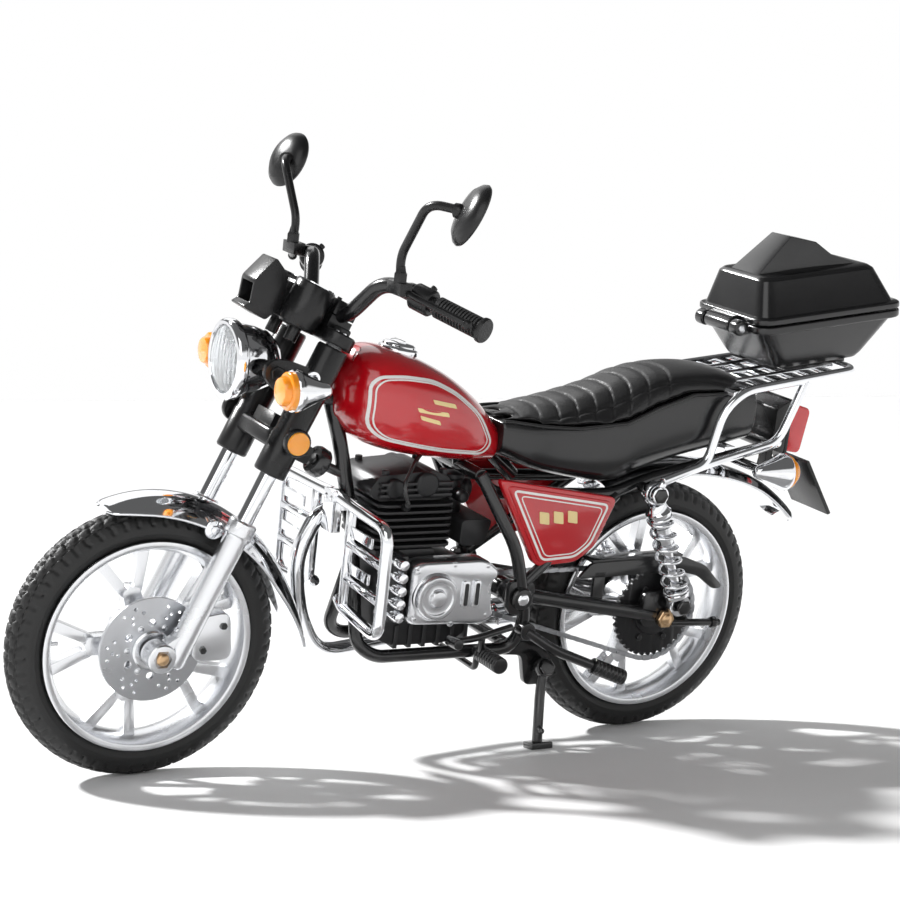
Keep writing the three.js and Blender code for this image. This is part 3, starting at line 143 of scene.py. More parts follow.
GLASS = material("clear_lens", (0.95, 0.97, 0.98), 0.06, 0.0, (NOISE, 900), 0.08, rough_vary=0.02,
    Transmission_Weight=0.85, IOR=1.35)
MIRROR = material("mirror_glass", (0.9, 0.9, 0.91), 0.03, 1.0, (NOISE, 500), 0.01, rough_vary=0.01)
WHITE = material("stripe_white", (0.8, 0.8, 0.78), 0.3, 0.0, (NOISE, 2600), 0.05, vary=0.04,
    rough_vary=0.04)
GOLD = material("badge_gold", (0.75, 0.6, 0.3), 0.3, 0.6, (NOISE, 2600), 0.05, vary=0.08,
    rough_vary=0.05)
BRASS = material("brass_bolt", (0.62, 0.42, 0.24), 0.32, 1.0, (NOISE, 3000), 0.15, vary=0.12,
    rough_vary=0.08)
GREY = material("plate_grey", (0.05, 0.05, 0.055), 0.4, 0.0, (NOISE, 3000), 0.15, vary=0.2,
    rough_vary=0.05)


# ---- shapes: each returns (points, faces)
def sweep_rings(rings, caps=True):
    count = len(rings[0])
    points = [Vector(p) for ring in rings for p in ring]
    faces = []
    for k in range(len(rings) - 1):
        for i in range(count):
            j = (i + 1) % count
            faces.append((k * count + i, k * count + j, (k + 1) * count + j, (k + 1) * count + i))
    if caps:
        faces.append(tuple(range(count))[::-1])
        faces.append(tuple(range(len(points) - count, len(points))))
    return points, faces


def circle(centre, side, up, radius, count):
    steps = (2 * math.pi * i / count for i in range(count))
    return [centre + side * (radius * math.cos(a)) + up * (radius * math.sin(a)) for a in steps]


def across(direction):
    helper = Vector((0, 1, 0)) if abs(direction.y) < 0.9 else Vector((0, 0, 1))
    side = direction.cross(helper).normalized()
    return side, side.cross(direction).normalized()


def rod(a, b, radius, count=28, chamfer=0.12):
    a, b = Vector(a), Vector(b)
    along = (b - a).normalized()
    side, up = across(along)
    c = min(chamfer, radius * 0.3, (b - a).length * 0.3)
    stops = ((0, radius - c), (c, radius), ((b - a).length - c, radius), ((b - a).length, radius - c))
    return sweep_rings([circle(a + along * s, side, up, r, count) for s, r in stops])


def lathe(profile, centre, axis=(0, 1, 0), count=48, closed=False):
    axis = Vector(axis).normalized()
    side, up = across(axis)
    profile = list(profile) + ([profile[0]] if closed else [])
    rings = [circle(Vector(centre) + axis * h, side, up, max(r, 0.004), count) for r, h in profile]
    return sweep_rings(rings, caps=not closed)


def rounded(points, bend, steps=8):
    points = [Vector(p) for p in points]
    path = [points[0]]
    for before, corner, after in zip(points, points[1:], points[2:]):
        back, ahead = before - corner, after - corner
        reach = min(bend, back.length / 2.1, ahead.length / 2.1)
        start, stop = corner + back.normalized() * reach, corner + ahead.normalized() * reach
        for k in range(steps + 1):
            t = k / steps
            path.append(start * (1 - t) ** 2 + corner * (2 * t * (1 - t)) + stop * t ** 2)
    return path + [points[-1]]


def tube(points, radius, bend=4.0, count=16, steps=8):
    path = rounded(points, bend, steps) if bend else [Vector(p) for p in points]
    rings = []
    side = up = None
    length = len(path) - 1
    for k, here in enumerate(path):
        along = (path[min(k + 1, length)] - path[max(k - 1, 0)]).normalized()
        if side is None:
            side, up = across(along)
        else:
            side = (side - along * side.dot(along)).normalized()
            up = side.cross(along).normalized()
        rings.append(circle(here, side, up, radius, count))
    first, last = path[0], path[-1]
    lead, tail = (path[1] - first).normalized(), (last - path[-2]).normalized()
    rings.insert(0, [first + (p - first) * 0.7 - lead * radius * 0.12 for p in rings[0]])
    rings.append([last + (p - last) * 0.7 + tail * radius * 0.12 for p in rings[-1]])
    return sweep_rings(rings)


def slab(outline, y0, y1):
    return sweep_rings([[(x, y, z) for x, z in outline] for y in (y0, y1)])


def block(low, high):
    (x0, y0, z0), (x1, y1, z1) = low, high
    return slab([(x0, z0), (x1, z0), (x1, z1), (x0, z1)], y0, y1)


def soft_outline(outline, radius, steps=4):
    loop = []
    for i, corner in enumerate(outline):
        corner = Vector(corner)
        back, ahead = Vector(outline[i - 1]) - corner, Vector(outline[(i + 1) % len(outline)]) - corner
        reach = min(radius, back.length / 2.1, ahead.length / 2.1)
        start, stop = corner + back.normalized() * reach, corner + ahead.normalized() * reach
        for k in range(steps + 1):
            t = k / steps
            loop.append(tuple(start * (1 - t) ** 2 + corner * (2 * t * (1 - t)) + stop * t ** 2))
    return loop


def turned(part, angle, centre, axis="Y"):
    matrix = Matrix.Translation(centre) @ Matrix.Rotation(angle, 4,
        axis) @ Matrix.Translation(-Vector(centre))
    return [matrix @ Vector(p) for p in part[0]], part[1]


def flipped(part, side):
    return [Vector((p[0], p[1] * side, p[2])) for p in part[0]], part[1]


def dome(centre, direction, radius, height, count=24):
    steps = [(radius * math.cos(a), height * math.sin(a)) for a in (0, 0.3, 0.6, 0.9, 1.2, 1.45)]
    return lathe([(radius, -height * 0.6)] + steps, centre, direction, count)


def screw(centre, direction, radius):
    direction = Vector(direction).normalized()
    centre = Vector(centre)
    side, up = across(direction)
    head = [dome(centre, direction, radius, radius * 0.45, 20)]
    ring = lathe([(radius * 1.3, -0.1), (radius * 1.3, 0.12), (radius, 0.16), (radius, -0.1)], centre,
        direction, 24, True)
    return head + [ring]


def catmull(stations, t):
    count = len(stations) - 1
    place = min(max(t, 0), 0.99999) * count
    i = int(place)
    f = place - i
    a, b = stations[max(i - 1, 0)], stations[i]
    c, d = stations[min(i + 1, count)], stations[min(i + 2, count)]
    return [0.5 * (2 * q + (r - p) * f + (2 * p - 5 * q + 4 * r - s) * f * f
        + (3 * q - p - 3 * r + s) * f ** 3) for p, q, r, s in zip(a, b, c, d)]


def hull_ring(station, angles):
    x, low, high, half, power = station
    ring = []
    for a in angles:
        sideways = math.copysign(abs(math.cos(a)) ** (2 / power), math.cos(a))
        upward = math.copysign(abs(math.sin(a)) ** (2 / power), math.sin(a))
        ring.append(Vector((x, half * sideways, (low + high) / 2 + (high - low) / 2 * upward)))
    return ring


def merged(parts):
    points, faces = [], []
    for part_points, part_faces in parts:
        faces += [tuple(i + len(points) for i in face) for face in part_faces]
        points += list(part_points)
    return points, faces


# ---- pieces
def mesh_object(name, part, space, weld=False):
    mesh = bpy.data.meshes.new(name)
    points, faces = part
    mesh.from_pydata([space @ Vector(p) for p in points], [], faces)
    work = bmesh.new()
    work.from_mesh(mesh)
    if weld:
        bmesh.ops.remove_doubles(work, verts=work.verts, dist=1e-7)
    bmesh.ops.recalc_face_normals(work, faces=work.faces)
    work.to_mesh(mesh)
    work.free()
    obj = bpy.data.objects.new(name, mesh)
    bpy.context.scene.collection.objects.link(obj)
    return obj


def piece(name, parts, body, mat, replaces=(), space=BIKE, bevel=0.0, angle=34, cutters=()):
    obj = mesh_object(name, merged(parts), space, weld=True)
    for cutter in cutters:
        cut_away(obj, cutter, space)
    return dress(obj, body, mat, replaces, bevel, angle)


def cut_away(obj, part, space):
    tool = mesh_object("cutter", part, space)
    carve = obj.modifiers.new("carve", "BOOLEAN")
    carve.operation = "DIFFERENCE"
    carve.solver = "EXACT"
    carve.object = tool
    settle(obj)
    bpy.data.objects.remove(tool)


def settle(obj):
    graph = bpy.context.evaluated_depsgraph_get()
    final = bpy.data.meshes.new_from_object(obj.evaluated_get(graph))
    obj.modifiers.clear()
    obj.data = final


def dress(obj, body, mat, replaces=(), bevel=0.0, angle=34):
    if bevel:
        soften = obj.modifiers.new("bevel", "BEVEL")
        soften.width = bevel / 1000
        soften.segments = 2
        soften.limit_method = "ANGLE"
        soften.angle_limit = math.radians(angle)
        settle(obj)
    obj.data.shade_smooth()
    obj.data.set_sharp_from_angle(angle=math.radians(angle + 6))
    obj.data.materials.clear()
    obj.data.materials.append(mat)
    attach(obj, body)
    if replaces:
        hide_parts(*([replaces] if isinstance(replaces, str) else replaces))
    return obj


def refined(node, body, mat, bevel=0.2, angle=30):
    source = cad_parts[node]
    mesh = source.data.copy()
    work = bmesh.new()
    work.from_mesh(mesh)
    bmesh.ops.remove_doubles(work, verts=work.verts, dist=1e-6)
    bmesh.ops.dissolve_limit(work, angle_limit=math.radians(1), verts=work.verts, edges=work.edges)
    work.to_mesh(mesh)
    work.free()
    obj = bpy.data.objects.new(node + "_finish", mesh)
    bpy.context.scene.collection.objects.link(obj)
    return dress(obj, body, mat, node, bevel, angle)


# ---- wheels
GROOVE, SHOULDER_CUT, CENTRE_CUT = 0.42, 0.38, 0.25
TYRE_CROWN, TYRE_HALF = 5, 4.5


def tread_depth(turn, sin_a):
    """How deep the tread is cut, at a place counted in blocks round the tyre and across it from 0 to 1."""
    v = abs(sin_a)
    shift = 0.5 if sin_a > 0 else 0.0
    zig = 0.05 * (1 if (turn * 2) % 1 < 0.5 else -1)
    if 0.17 + zig < v < 0.27 + zig or 0.6 < v < 0.66:
        return GROOVE
    if 0.27 < v < 0.6 and (turn + shift + v * 0.8) % 1 < 0.24:
        return GROOVE
    if 0.66 < v < 0.95 and (turn + shift + 0.5 - v * 0.5) % 1 < 0.26:
        return SHOULDER_CUT
    if v <= 0.17 and (turn + 0.25) % 1 < 0.12:
        return CENTRE_CUT
    return 0.0


def build_tyre(node, centre, radius, rim_radius, body):
    inner = [(rim_radius - 0.5, 3.1), (rim_radius - 0.5, -3.1), (rim_radius + 0.1, -3.9),
        (rim_radius + 0.9, -4.15), (rim_radius + 1.7, -4.5)]
    outer = [(rim_radius + 1.7, 4.5), (rim_radius + 0.9, 4.15), (rim_radius + 0.1, 3.9)]
    sweep = [math.radians(-90 + 180 * k / 44) for k in range(45)]
    count, blocks = 432, 60
    rings = []
    for i in range(count):
        angle = 2 * math.pi * i / count
        ring = list(inner)
        for a in sweep:
            depth = tread_depth(i / count * blocks, math.sin(a))
            reach = TYRE_CROWN - depth
            half = TYRE_HALF - depth * abs(math.sin(a))
            ring.append((radius - TYRE_CROWN + reach * math.cos(a) ** 0.9, half * math.sin(a)))
        ring += outer
        rings.append([(centre[0] + r * math.cos(angle), h, centre[2] + r * math.sin(angle))
            for r, h in ring])
    points, faces = sweep_rings(rings + [rings[0]], caps=False)
    piece(node + "_treaded", [(points, faces)], body, TYRE, node, angle=40)


def rim_ring(rim_radius, centre):
    inner = rim_radius - 2.6
    profile = [(inner, -2.2), (rim_radius - 1.9, -3.6), (rim_radius - 1.5, -4.5),
        (rim_radius - 0.9, -4.75), (rim_radius - 0.1, -4.7), (rim_radius, -4.3),
        (rim_radius - 0.5, -3.6), (rim_radius - 0.7, 0), (rim_radius - 0.5, 3.6), (rim_radius, 4.3),
        (rim_radius - 0.1, 4.7), (rim_radius - 0.9, 4.75), (rim_radius - 1.5, 4.5),
        (rim_radius - 1.9, 3.6), (inner, 2.2), (inner - 0.3, 0)]
    return lathe(profile, centre, (0, 1, 0), 120, closed=True)


def build_rim(node, centre, rim_radius, hub, body, extra=()):
    inner = rim_radius - 2.6
    arms = []
    split = hub + 6.5
    for k in range(5):
        turn = -(k / 5 * 2 * math.pi + 0.3 * math.pi / 180)
        for side in (1, -1):
            shape = [(split - 1.6, 0.3 * side), (split + 0.6, 2.3 * side), (inner + 0.5, 6.7 * side),
                (inner + 0.5, 4.0 * side), (split + 3.2, 1.1 * side)]
            arm = sweep_rings([[(x, y, z) for x, z in soft_outline(shape, 0.7)]
                for y in (-1.55, -1.2, 1.2, 1.55)])
            arms.append(turned(([p + Vector(centre) for p in arm[0]], arm[1]), turn, centre))
        trunk = slab(soft_outline([(hub - 1, -2.3), (split + 1.4, -2.0), (split + 2.4, 0),
            (split + 1.4, 2.0), (hub - 1, 2.3)], 0.6), -1.75, 1.75)
        arms.append(turned(([p + Vector(centre) for p in trunk[0]], trunk[1]), turn, centre))
    barrel = lathe([(1.8, -7.2), (hub - 1.2, -7.2), (hub - 0.9, -6.9), (hub - 0.9, -4.2), (hub, -3.6),
        (hub, 3.2), (hub - 0.5, 3.6), (hub - 0.5, 4.5), (1.8, 4.5)], centre, (0, 1, 0), 64, closed=True)
    bolts = []
    for k in range(5):
        a = k / 5 * 2 * math.pi + 0.63
        spot = Vector(centre) + Vector(((hub - 2.1) * math.cos(a), 0, (hub - 2.1) * math.sin(a)))
        bolts.append(rod(spot + Vector((0, 4.2, 0)), spot + Vector((0, 5.0, 0)), 0.55, 6, chamfer=0.08))
        bolts.append(rod(spot - Vector((0, 7.0, 0)), spot - Vector((0, 7.6, 0)), 0.5, 6, chamfer=0.08))
    valve = rod(Vector(centre) + Vector((inner - 2.2, 0, 0.6)), Vector(centre) + Vector((inner + 0.4, 0,
        0.6)), 0.45, 12)
    piece(node + "_cast", [rim_ring(rim_radius, centre), barrel, valve] + arms + bolts + list(extra),
        body, SILVER, node, bevel=0.22)


build_tyre("front_tyre", FRONT, 30, 23.4, "front_wheel")
build_tyre("rear_tyre", REAR, 31.2, 24.6, "rear_wheel")
build_rim("front_rim", FRONT, 23.4, 4.6, "front_wheel")
build_rim("rear_rim", REAR, 24.6, 6.2, "rear_wheel")

teeth = []
for i in range(38 * 4):
    a = 2 * math.pi * i / (38 * 4)
    r = 11.0 if i % 4 in (1, 2) else 10.3
    teeth.append((REAR[0] + r * math.cos(a), REAR[2] + r * math.sin(a)))
sprocket_bolts = [rod((REAR[0] + 7 * math.cos(a), 7.4, REAR[2] + 7 * math.sin(a)),
    (REAR[0] + 7 * math.cos(a), 8.2, REAR[2] + 7 * math.sin(a)), 0.8, 6, chamfer=0.1)
    for a in (k * math.pi / 3 for k in range(6))]
drum = lathe([(2, 7.5), (2, 8.3), (5.2, 8.3), (5.6, 7.9), (5.6, 7.4)], REAR, (0, 1, 0), 48, closed=True)
piece("rear_sprocket_ring", [slab(teeth, 6.35, 7.5), drum] + sprocket_bolts, "rear_wheel", ENGINE_BLACK,
    bevel=0.1)

holes = []
for k in range(6):
    for j, (r, turn) in enumerate(((9.9, -0.2), (8.6, -0.05), (9.9, 0.1), (8.6, 0.25), (7.4, -0.12))):
        a = k * math.pi / 3 + turn
        spot = Vector(FRONT) + Vector((r * math.cos(a), 0, r * math.sin(a)))
        holes.append(rod(spot + Vector((0, 4, 0)), spot + Vector((0, 7, 0)), 0.42, 10, chamfer=0))
for k in range(6):
    a = k * math.pi / 3 + 0.5
    spot = Vector(FRONT) + Vector((5.9 * math.cos(a), 0, 5.9 * math.sin(a)))
    holes.append(rod(spot + Vector((0, 4, 0)), spot + Vector((0, 7, 0)), 0.85, 16, chamfer=0))


disc = lathe([(1.9, 4.95), (11.4, 4.95), (11.5, 5.05), (11.5, 5.75), (11.4, 5.85), (1.9, 5.85)], FRONT,
    (0, 1, 0), 96, closed=True)
piece("brake_disc_drilled", [disc], "front_wheel", BRUSHED, "brake_disc", cutters=[merged(holes)],
    angle=30)
carrier = [lathe([(1.9, 5.5), (4.4, 5.5), (4.4, 6.5), (4.0, 6.9), (1.9, 6.9)], FRONT, (0, 1, 0), 40,
    closed=True)]
for k in range(6):
    a = k * math.pi / 3
    carrier += screw((FRONT[0] + 5.4 * math.cos(a), 5.9, FRONT[2] + 5.4 * math.sin(a)), (0, 1, 0), 0.55)
piece("brake_disc_carrier", carrier, "front_wheel", SILVER)

for node, (x, _, z), half, body in (("front_axle", FRONT, 13.5, "fork_legs"),
        ("rear_axle", REAR, 14, "rear_fork")):
    ends = [rod((x, -half + 1.4, z), (x, half - 1.4, z), 1.4)]
    for side in (1, -1):
        ends.append(rod((x, side * (half - 2.2), z), (x, side * (half - 0.8), z), 2.3, 6, chamfer=0.2))
        ends.append(dome((x, side * (half - 0.9), z), (0, side, 0), 1.45, 0.8))
    piece(node + "_nuts", ends, body, BRASS, node)

# ---- fork
HALF = 10.2
LUG = ((64 - 60.2) * math.cos(RAKE), -(64 - 60.2) * math.sin(RAKE))
for hand, side in SIDES:
    y = side * HALF
    leg = [lathe([(0.4, -2.6), (1.9, -2.5), (2.5, -1.9), (2.6, -1), (2.6, 27.6), (2.7, 28.2),
        (3.1, 28.5), (3.1, 31.2), (2.8, 31.6), (1.95, 31.7)], (0, y, 0), (0, 0, 1), 36),
        rod((LUG[0], y - 2.5, LUG[1]), (LUG[0], y + 2.5, LUG[1]), 3.2, 36, chamfer=0.3),
        slab(soft_outline([(0, -3), (4.2, -3.2), (3.8, 1.6), (0.8, 6)], 0.8), y - 1.7, y + 1.7),
        block((-1.4, y - side * 2.2 - 0.8, 24), (1.4, y - side * 2.2 + 0.8, 28)),
        rod((1.2, y, 5), (2.9, y, 5), 0.7, 6)]
    piece(f"fork_leg_{hand}", leg, "fork_legs", SILVER, f"fork_slider_{hand}", FORK, bevel=0.2)
    tube_parts = [lathe([(1.87, 26), (1.87, 76.4), (1.6, 76.8), (0.1, 76.9)], (0, y, 0), (0, 0, 1), 36)]
    piece(f"fork_stanchion_{hand}", tube_parts, "steering", CHROME, f"fork_tube_{hand}", FORK)

yoke = [slab(soft_outline([(-8.4, 47.9), (2.7, 47.9), (2.7, 51.9), (-8.4, 51.9)], 1), -8, 8),
    block((-1, -4.5, 50), (2, 4.5, 54.8)), rod((-5.2, 0, 50), (-5.2, 0, 76), 1.55)]
reflectors = []
for hand, side in SIDES:
    y = side * HALF
    yoke += [lathe([(1.95, 42.8), (3.3, 42.8), (3.6, 43.2), (3.6, 52), (3.35, 52.4), (3.45, 60),
        (3.45, 72.2), (3.2, 72.7), (1.95, 72.7)], (0, y, 0), (0, 0, 1), 40),
        slab(soft_outline([(0, 58.4), (8.6, 59.2), (11.6, 60.4), (12.6, 62.5), (11.6, 64.8), (8.6, 66),
        (0, 67)], 1), side * 10.4 - 0.85, side * 10.4 + 0.85), rod((9.6, side * 10.2, 62.5),
        (9.6, side * 11.9, 62.5), 1.7, 6, chamfer=0.2), rod((0.7, side * 13, 51.5),
        (0.7, side * 15.7, 51.5), 1), rod((0.7, side * 15.5, 51.5), (0.7, side * 17.1, 51.5), 3, 40,
        chamfer=0.25)]
    reflectors.append(lathe([(2.55, 17.0), (2.4, 17.45), (0.1, 17.6)], (0.7, 0, 51.5), (0, side, 0), 36))
piece("lower_yoke_moulding", yoke, "steering", PLASTIC, "lower_yoke", FORK, bevel=0.25)
piece("fork_reflectors", reflectors, "steering", AMBER, (), FORK)

top = [slab([(-2, 73.3), (2.4, 73.3), (2.4, 76.1), (-2, 76.1)], -9, 9),
    block((-7.8, -3.6, 73.3), (0, 3.6, 76.1))]
for side in (1, -1):
    y = side * HALF
    top += [rod((0, y, 73.3), (0, y, 76.2), 3.45, 40, chamfer=0.3),
        rod((0, y, 76), (0, y, 77.4), 2.1, 6, chamfer=0.25), block((-3.1, side * 5.4 - 1.85, 76),
        (2.3, side * 5.4 + 1.85, 79)), block((-3.1, side * 5.4 - 1.85, 79.3),
        (2.3, side * 5.4 + 1.85, 82.5))]
    for u in (-2.3, 1.5):
        top.append(rod((u, side * 5.4, 82.3), (u, side * 5.4, 83), 0.6, 6, chamfer=0.08))
top.append(rod((-5.2, 0, 76), (-5.2, 0, 77.6), 2.3, 6, chamfer=0.3))
piece("upper_yoke_machined", top, "steering", PLASTIC, "upper_yoke", FORK, bevel=0.3)

BAR = [(12.4, 40.4, 106.3), (23.4, 17.6, 112.1), (27.2, 8.5, 102.2)]
mirrored = [(x, -y, z) for x, y, z in BAR]
piece("handlebar_tube", [tube(mirrored + BAR[::-1], 1.7, 4.5, 24, 12)], "steering", FRAME_BLACK,
    "handlebar")
bar_start, bar_end = Vector(BAR[1]), Vector(BAR[0])


def on_bar(share, side, ahead=0.0, up=0.0):
    p = bar_start.lerp(bar_end, share)
    return Vector((p.x + ahead, side * p.y, p.z + up))


for hand, side in SIDES:
    along = (on_bar(1, side) - on_bar(0, side)).normalized()
    ribs = [(1.75, 0), (2.3, 0.05)]
    length = (on_bar(1.0, side) - on_bar(0.56, side)).length
    steps = 13
    for k in range(steps):
        s = 0.6 + (length - 1.2) * k / steps
        ribs += [(2.3, s), (2.3, s + 0.42), (2.05, s + 0.5), (2.05, s + 0.74)]
    ribs += [(2.3, length - 0.3), (2.65, length - 0.1), (2.7, length + 0.5), (2.5, length + 0.9),
        (0.1, length + 1)]
    piece(f"grip_{hand}_ribbed", [lathe(ribs, on_bar(0.56, side), along, 32)], "steering", GRIP,
        f"grip_{hand}")
    pod = [rod(on_bar(0.31, side), on_bar(0.5, side), 2.85, 32, chamfer=0.4),
        block((22.8, side * 26 - 3.4 if side > 0 else side * 26 - 2.6, 110.6),
        (25.6, side * 26 + 2.6 if side > 0 else side * 26 + 3.4, 113.2)),
        rod(on_bar(0.34, side), (24.2, side * 25.5, 111.8), 1.3), tube([(24.2, side * 26, 111.8),
        (22.8, side * 31, 110.7), (16.8, side * 41.4, 107.6)], 0.72, 6, 14, 8),
        dome((16.7, side * 41.6, 107.5), (-0.5, side * 0.8, -0.3), 1.05, 1.0),
        block((19.6, side * 24 - 1.2, 110.6), (22, side * 24 + 1.2, 112.6)),
        rod(on_bar(0.4, side, -1.5, 1.5), on_bar(0.4, side, -2.6, 2.6), 0.7),
        rod(on_bar(0.45, side, -1.2, -1.7), on_bar(0.45, side, -2.2, -2.4), 0.6)]
    piece(f"bar_controls_{hand}_pod", pod, "steering", PLASTIC, f"bar_controls_{hand}", bevel=0.25)

    start = (24.4, side * 26, 113.3)
    stalk = [tube([start, (24.4, side * 25.2, 118.4), (24.4, side * 34.4, 130.6),
        (20.6, side * 40.4, 130.2)], 0.95, 3.4, 20, 10), lathe([(1.5, -0.4), (1.5, 1.6), (1.2, 2.0),
        (0.9, 3.2), (0.1, 3.3)], start, (0, 0, 1), 6)]
    tilt = Matrix.Translation((19.6, side * 43, 129.8)) @ Matrix.Rotation(-side * math.radians(14), 4,
        "Z") @ Matrix.Rotation(math.radians(-24), 4, "Y") @ Matrix.Diagonal((1, 1, 1.18, 1))
    shell = lathe([(0.1, -1.9), (2.4, -1.75), (4.4, -1.25), (5.5, -0.2), (5.75, 0.5), (5.6, 0.9),
        (5.3, 0.9), (5.2, 0.55), (0.1, 0.5)], (0, 0, 0), (-1, 0, 0), 48)
    glass = lathe([(5.15, 0.5), (5.1, 0.68), (2.5, 0.78), (0.1, 0.8)], (0, 0, 0), (-1, 0, 0), 48)
    socket = dome((20.9, side * 40.8, 130.1), (-0.5, side * 0.7, 0), 1.5, 1.4)
    piece(f"mirror_{hand}_arm", stalk + [socket, ([tilt @ p for p in shell[0]], shell[1])],
        f"mirror_arm_{hand}", PLASTIC, f"mirror_{hand}")
    piece(f"mirror_{hand}_glass", [([tilt @ p for p in glass[0]], glass[1])], f"mirror_arm_{hand}",
        MIRROR)

# ---- headlight, dials, signals
LAMP = (49.6, 0, 91.6)
shell = lathe([(0.1, -11.5), (2.2, -11.35), (4.4, -10.4), (6.2, -8.4), (7.2, -5.4), (7.7, -2.2),
    (7.75, -1.7), (8.4, -1.5), (8.65, -1.0), (8.65, 0.2), (8.4, 0.75), (7.9, 1.0), (7.35, 1.0),
    (7.15, 0.6), (7.1, -0.8), (5.6, -2.0), (2.6, -4.0), (0.1, -4.6)], LAMP, (1, 0, 0), 72)
piece("headlight_bowl", [shell], "steering", CHROME, "headlight_shell")
lens = lathe([(7.1, -0.3), (7.1, 0.5), (5.6, 1.3), (3.2, 2.0), (0.1, 2.3)], LAMP, (1, 0, 0), 72)
flutes = [block((LAMP[0] + 0.3, y - 0.12, LAMP[2] - 4.6), (LAMP[0] + 0.75, y + 0.12, LAMP[2] + 4.6))
    for y in (-4.2, -2.8, -1.4, 0, 1.4, 2.8, 4.2)]
piece("headlight_glass", [lens], "steering", GLASS, "headlight_lens")
bulb = [lathe([(0.1, -4.2), (1.7, -4.0), (1.9, -1.9), (1.5, -0.9), (0.1, -0.6)], LAMP, (1, 0, 0), 32),
    lathe([(3.2, -2.0), (3.4, -0.8), (3.7, -0.8), (3.8, -2.0)], LAMP, (1, 0, 0), 48, True)]
piece("headlight_bulb", bulb + flutes, "steering", SILVER)

dial = [block((4.6, -4.7, 73.5), (11.7, 4.7, 81.8)), block((10, -2.6, 74), (14.2, 2.6, 79))]
rings = []
for side in (1, -1):
    y = side * 4.7
    dial += [lathe([(0.1, 73), (3.9, 73), (4.3, 73.6), (4.55, 76), (4.55, 82.4), (4.3, 82.9),
        (3.9, 82.9), (3.9, 82.2), (0.1, 82.1)], (7.4, y, 0), (0, 0, 1), 48),
        rod((7.4, y, 69.8), (7.4, y, 73.4), 1.4)]
    rings.append(lathe([(3.9, 82.3), (4.35, 82.5), (4.35, 83), (3.9, 83)], (7.4, y, 0), (0, 0, 1), 48,
        True))
piece("dial_rings", rings, "steering", CHROME, (), FORK)
faces_white = [lathe([(3.8, 82.1), (3.7, 82.25), (0.1, 82.3)], (7.4, side * 4.7, 0), (0, 0, 1), 40)
    for side in (1, -1)]
piece("dial_faces", faces_white, "steering", GREY, (), FORK)
ticks = []
for side in (1, -1):
    for k in range(9):
        a = math.radians(-210 + 30 * k)
        spot = Vector((7.4 + 3.1 * math.sin(a), side * 4.7 + 3.1 * math.cos(a), 82.28))
        ticks.append(rod(spot, spot + Vector((0, 0, 0.12)), 0.16, 8, chamfer=0.02))
    ticks.append(tube([(7.4, side * 4.7, 82.4), (5.6, side * 4.7 + 1.2, 82.4)], 0.12, 0, 8))
piece("dial_ticks", ticks, "steering", WHITE, (), FORK)
hood = slab(soft_outline([(46.3, 109.2), (41.7, 113.9), (38.6, 110.2), (39.9, 103.4), (43.2, 100.6),
    (48.6, 103.5), (46.9, 104.4)], 0.7), -3.4, 3.4)
hood_cut = slab([(49, 105.6), (46.2, 108.6), (41.2, 108), (42.4, 103.6), (46.2, 103.8)], -2.7, 2.7)
piece("dial_pods", dial, "steering", PLASTIC, "dials_and_visor", FORK, bevel=0.3)
piece("flyscreen_hood", [hood], "steering", PLASTIC, (), bevel=0.3, cutters=[hood_cut])


def signal(centre, facing, arm, name, body, replaced):
    bell = lathe([(0.1, -8.6), (0.9, -8.45), (1.5, -7.8), (2.2, -5.8), (3.2, -3.4), (4.1, -1.5),
        (4.5, -0.6), (4.55, 0.1), (4.3, 0.5), (3.9, 0.5), (3.8, 0.1), (0.1, 0)], centre, (facing, 0, 0),
        48)
    piece(name + "_bell", [bell] + arm, body, CHROME, replaced)
    steps = [(3.95, 0.1), (4.05, 0.7), (4.0, 1.5), (3.75, 1.75), (3.2, 1.8), (3.1, 2.1), (3.05, 2.7),
        (2.7, 3.15), (1.5, 3.4), (0.1, 3.5)]
    piece(name + "_lens", [lathe(steps, centre, (facing, 0, 0), 48)], body, AMBER)


for hand, side in SIDES:
    spot = (43.4, side * 20.5, 89.2)
    arm = [rod((40.2, side * 20.5, 89.2), (36, side * 14.2, 90.4), 1.1),
        dome((36.4, side * 14.4, 90.4), (0, -side, 0), 1.6, 0.8)]
    signal(spot, 1, arm, f"front_signal_{hand}", "steering", f"front_signal_{hand}")
tail_arm = [rod((-83.8, -18, 68.4), (-83.8, 18, 68.4), 1.1), block((-85.4, -3, 68), (-82.2, 3, 70.8))]
signal((-88.6, 18, 68.4), -1, tail_arm, "rear_signal_left", "chassis", "rear_signals")
signal((-88.6, -18, 68.4), -1, [], "rear_signal_right", "chassis", ())

# ---- mudguards and caliper
def arch_ring(centre, up, half, drop, power, thickness, share_count=17):
    shares = [-1 + 2 * k / (share_count - 1) for k in range(share_count)]
    outer = [centre + Vector((0, s * half, 0)) - up * (drop * abs(s) ** power) for s in shares]
    inner = [centre + Vector((0, s * (half - thickness), 0)) - up * (thickness + drop * abs(s) ** power)
        for s in shares[::-1]]
    return outer + inner


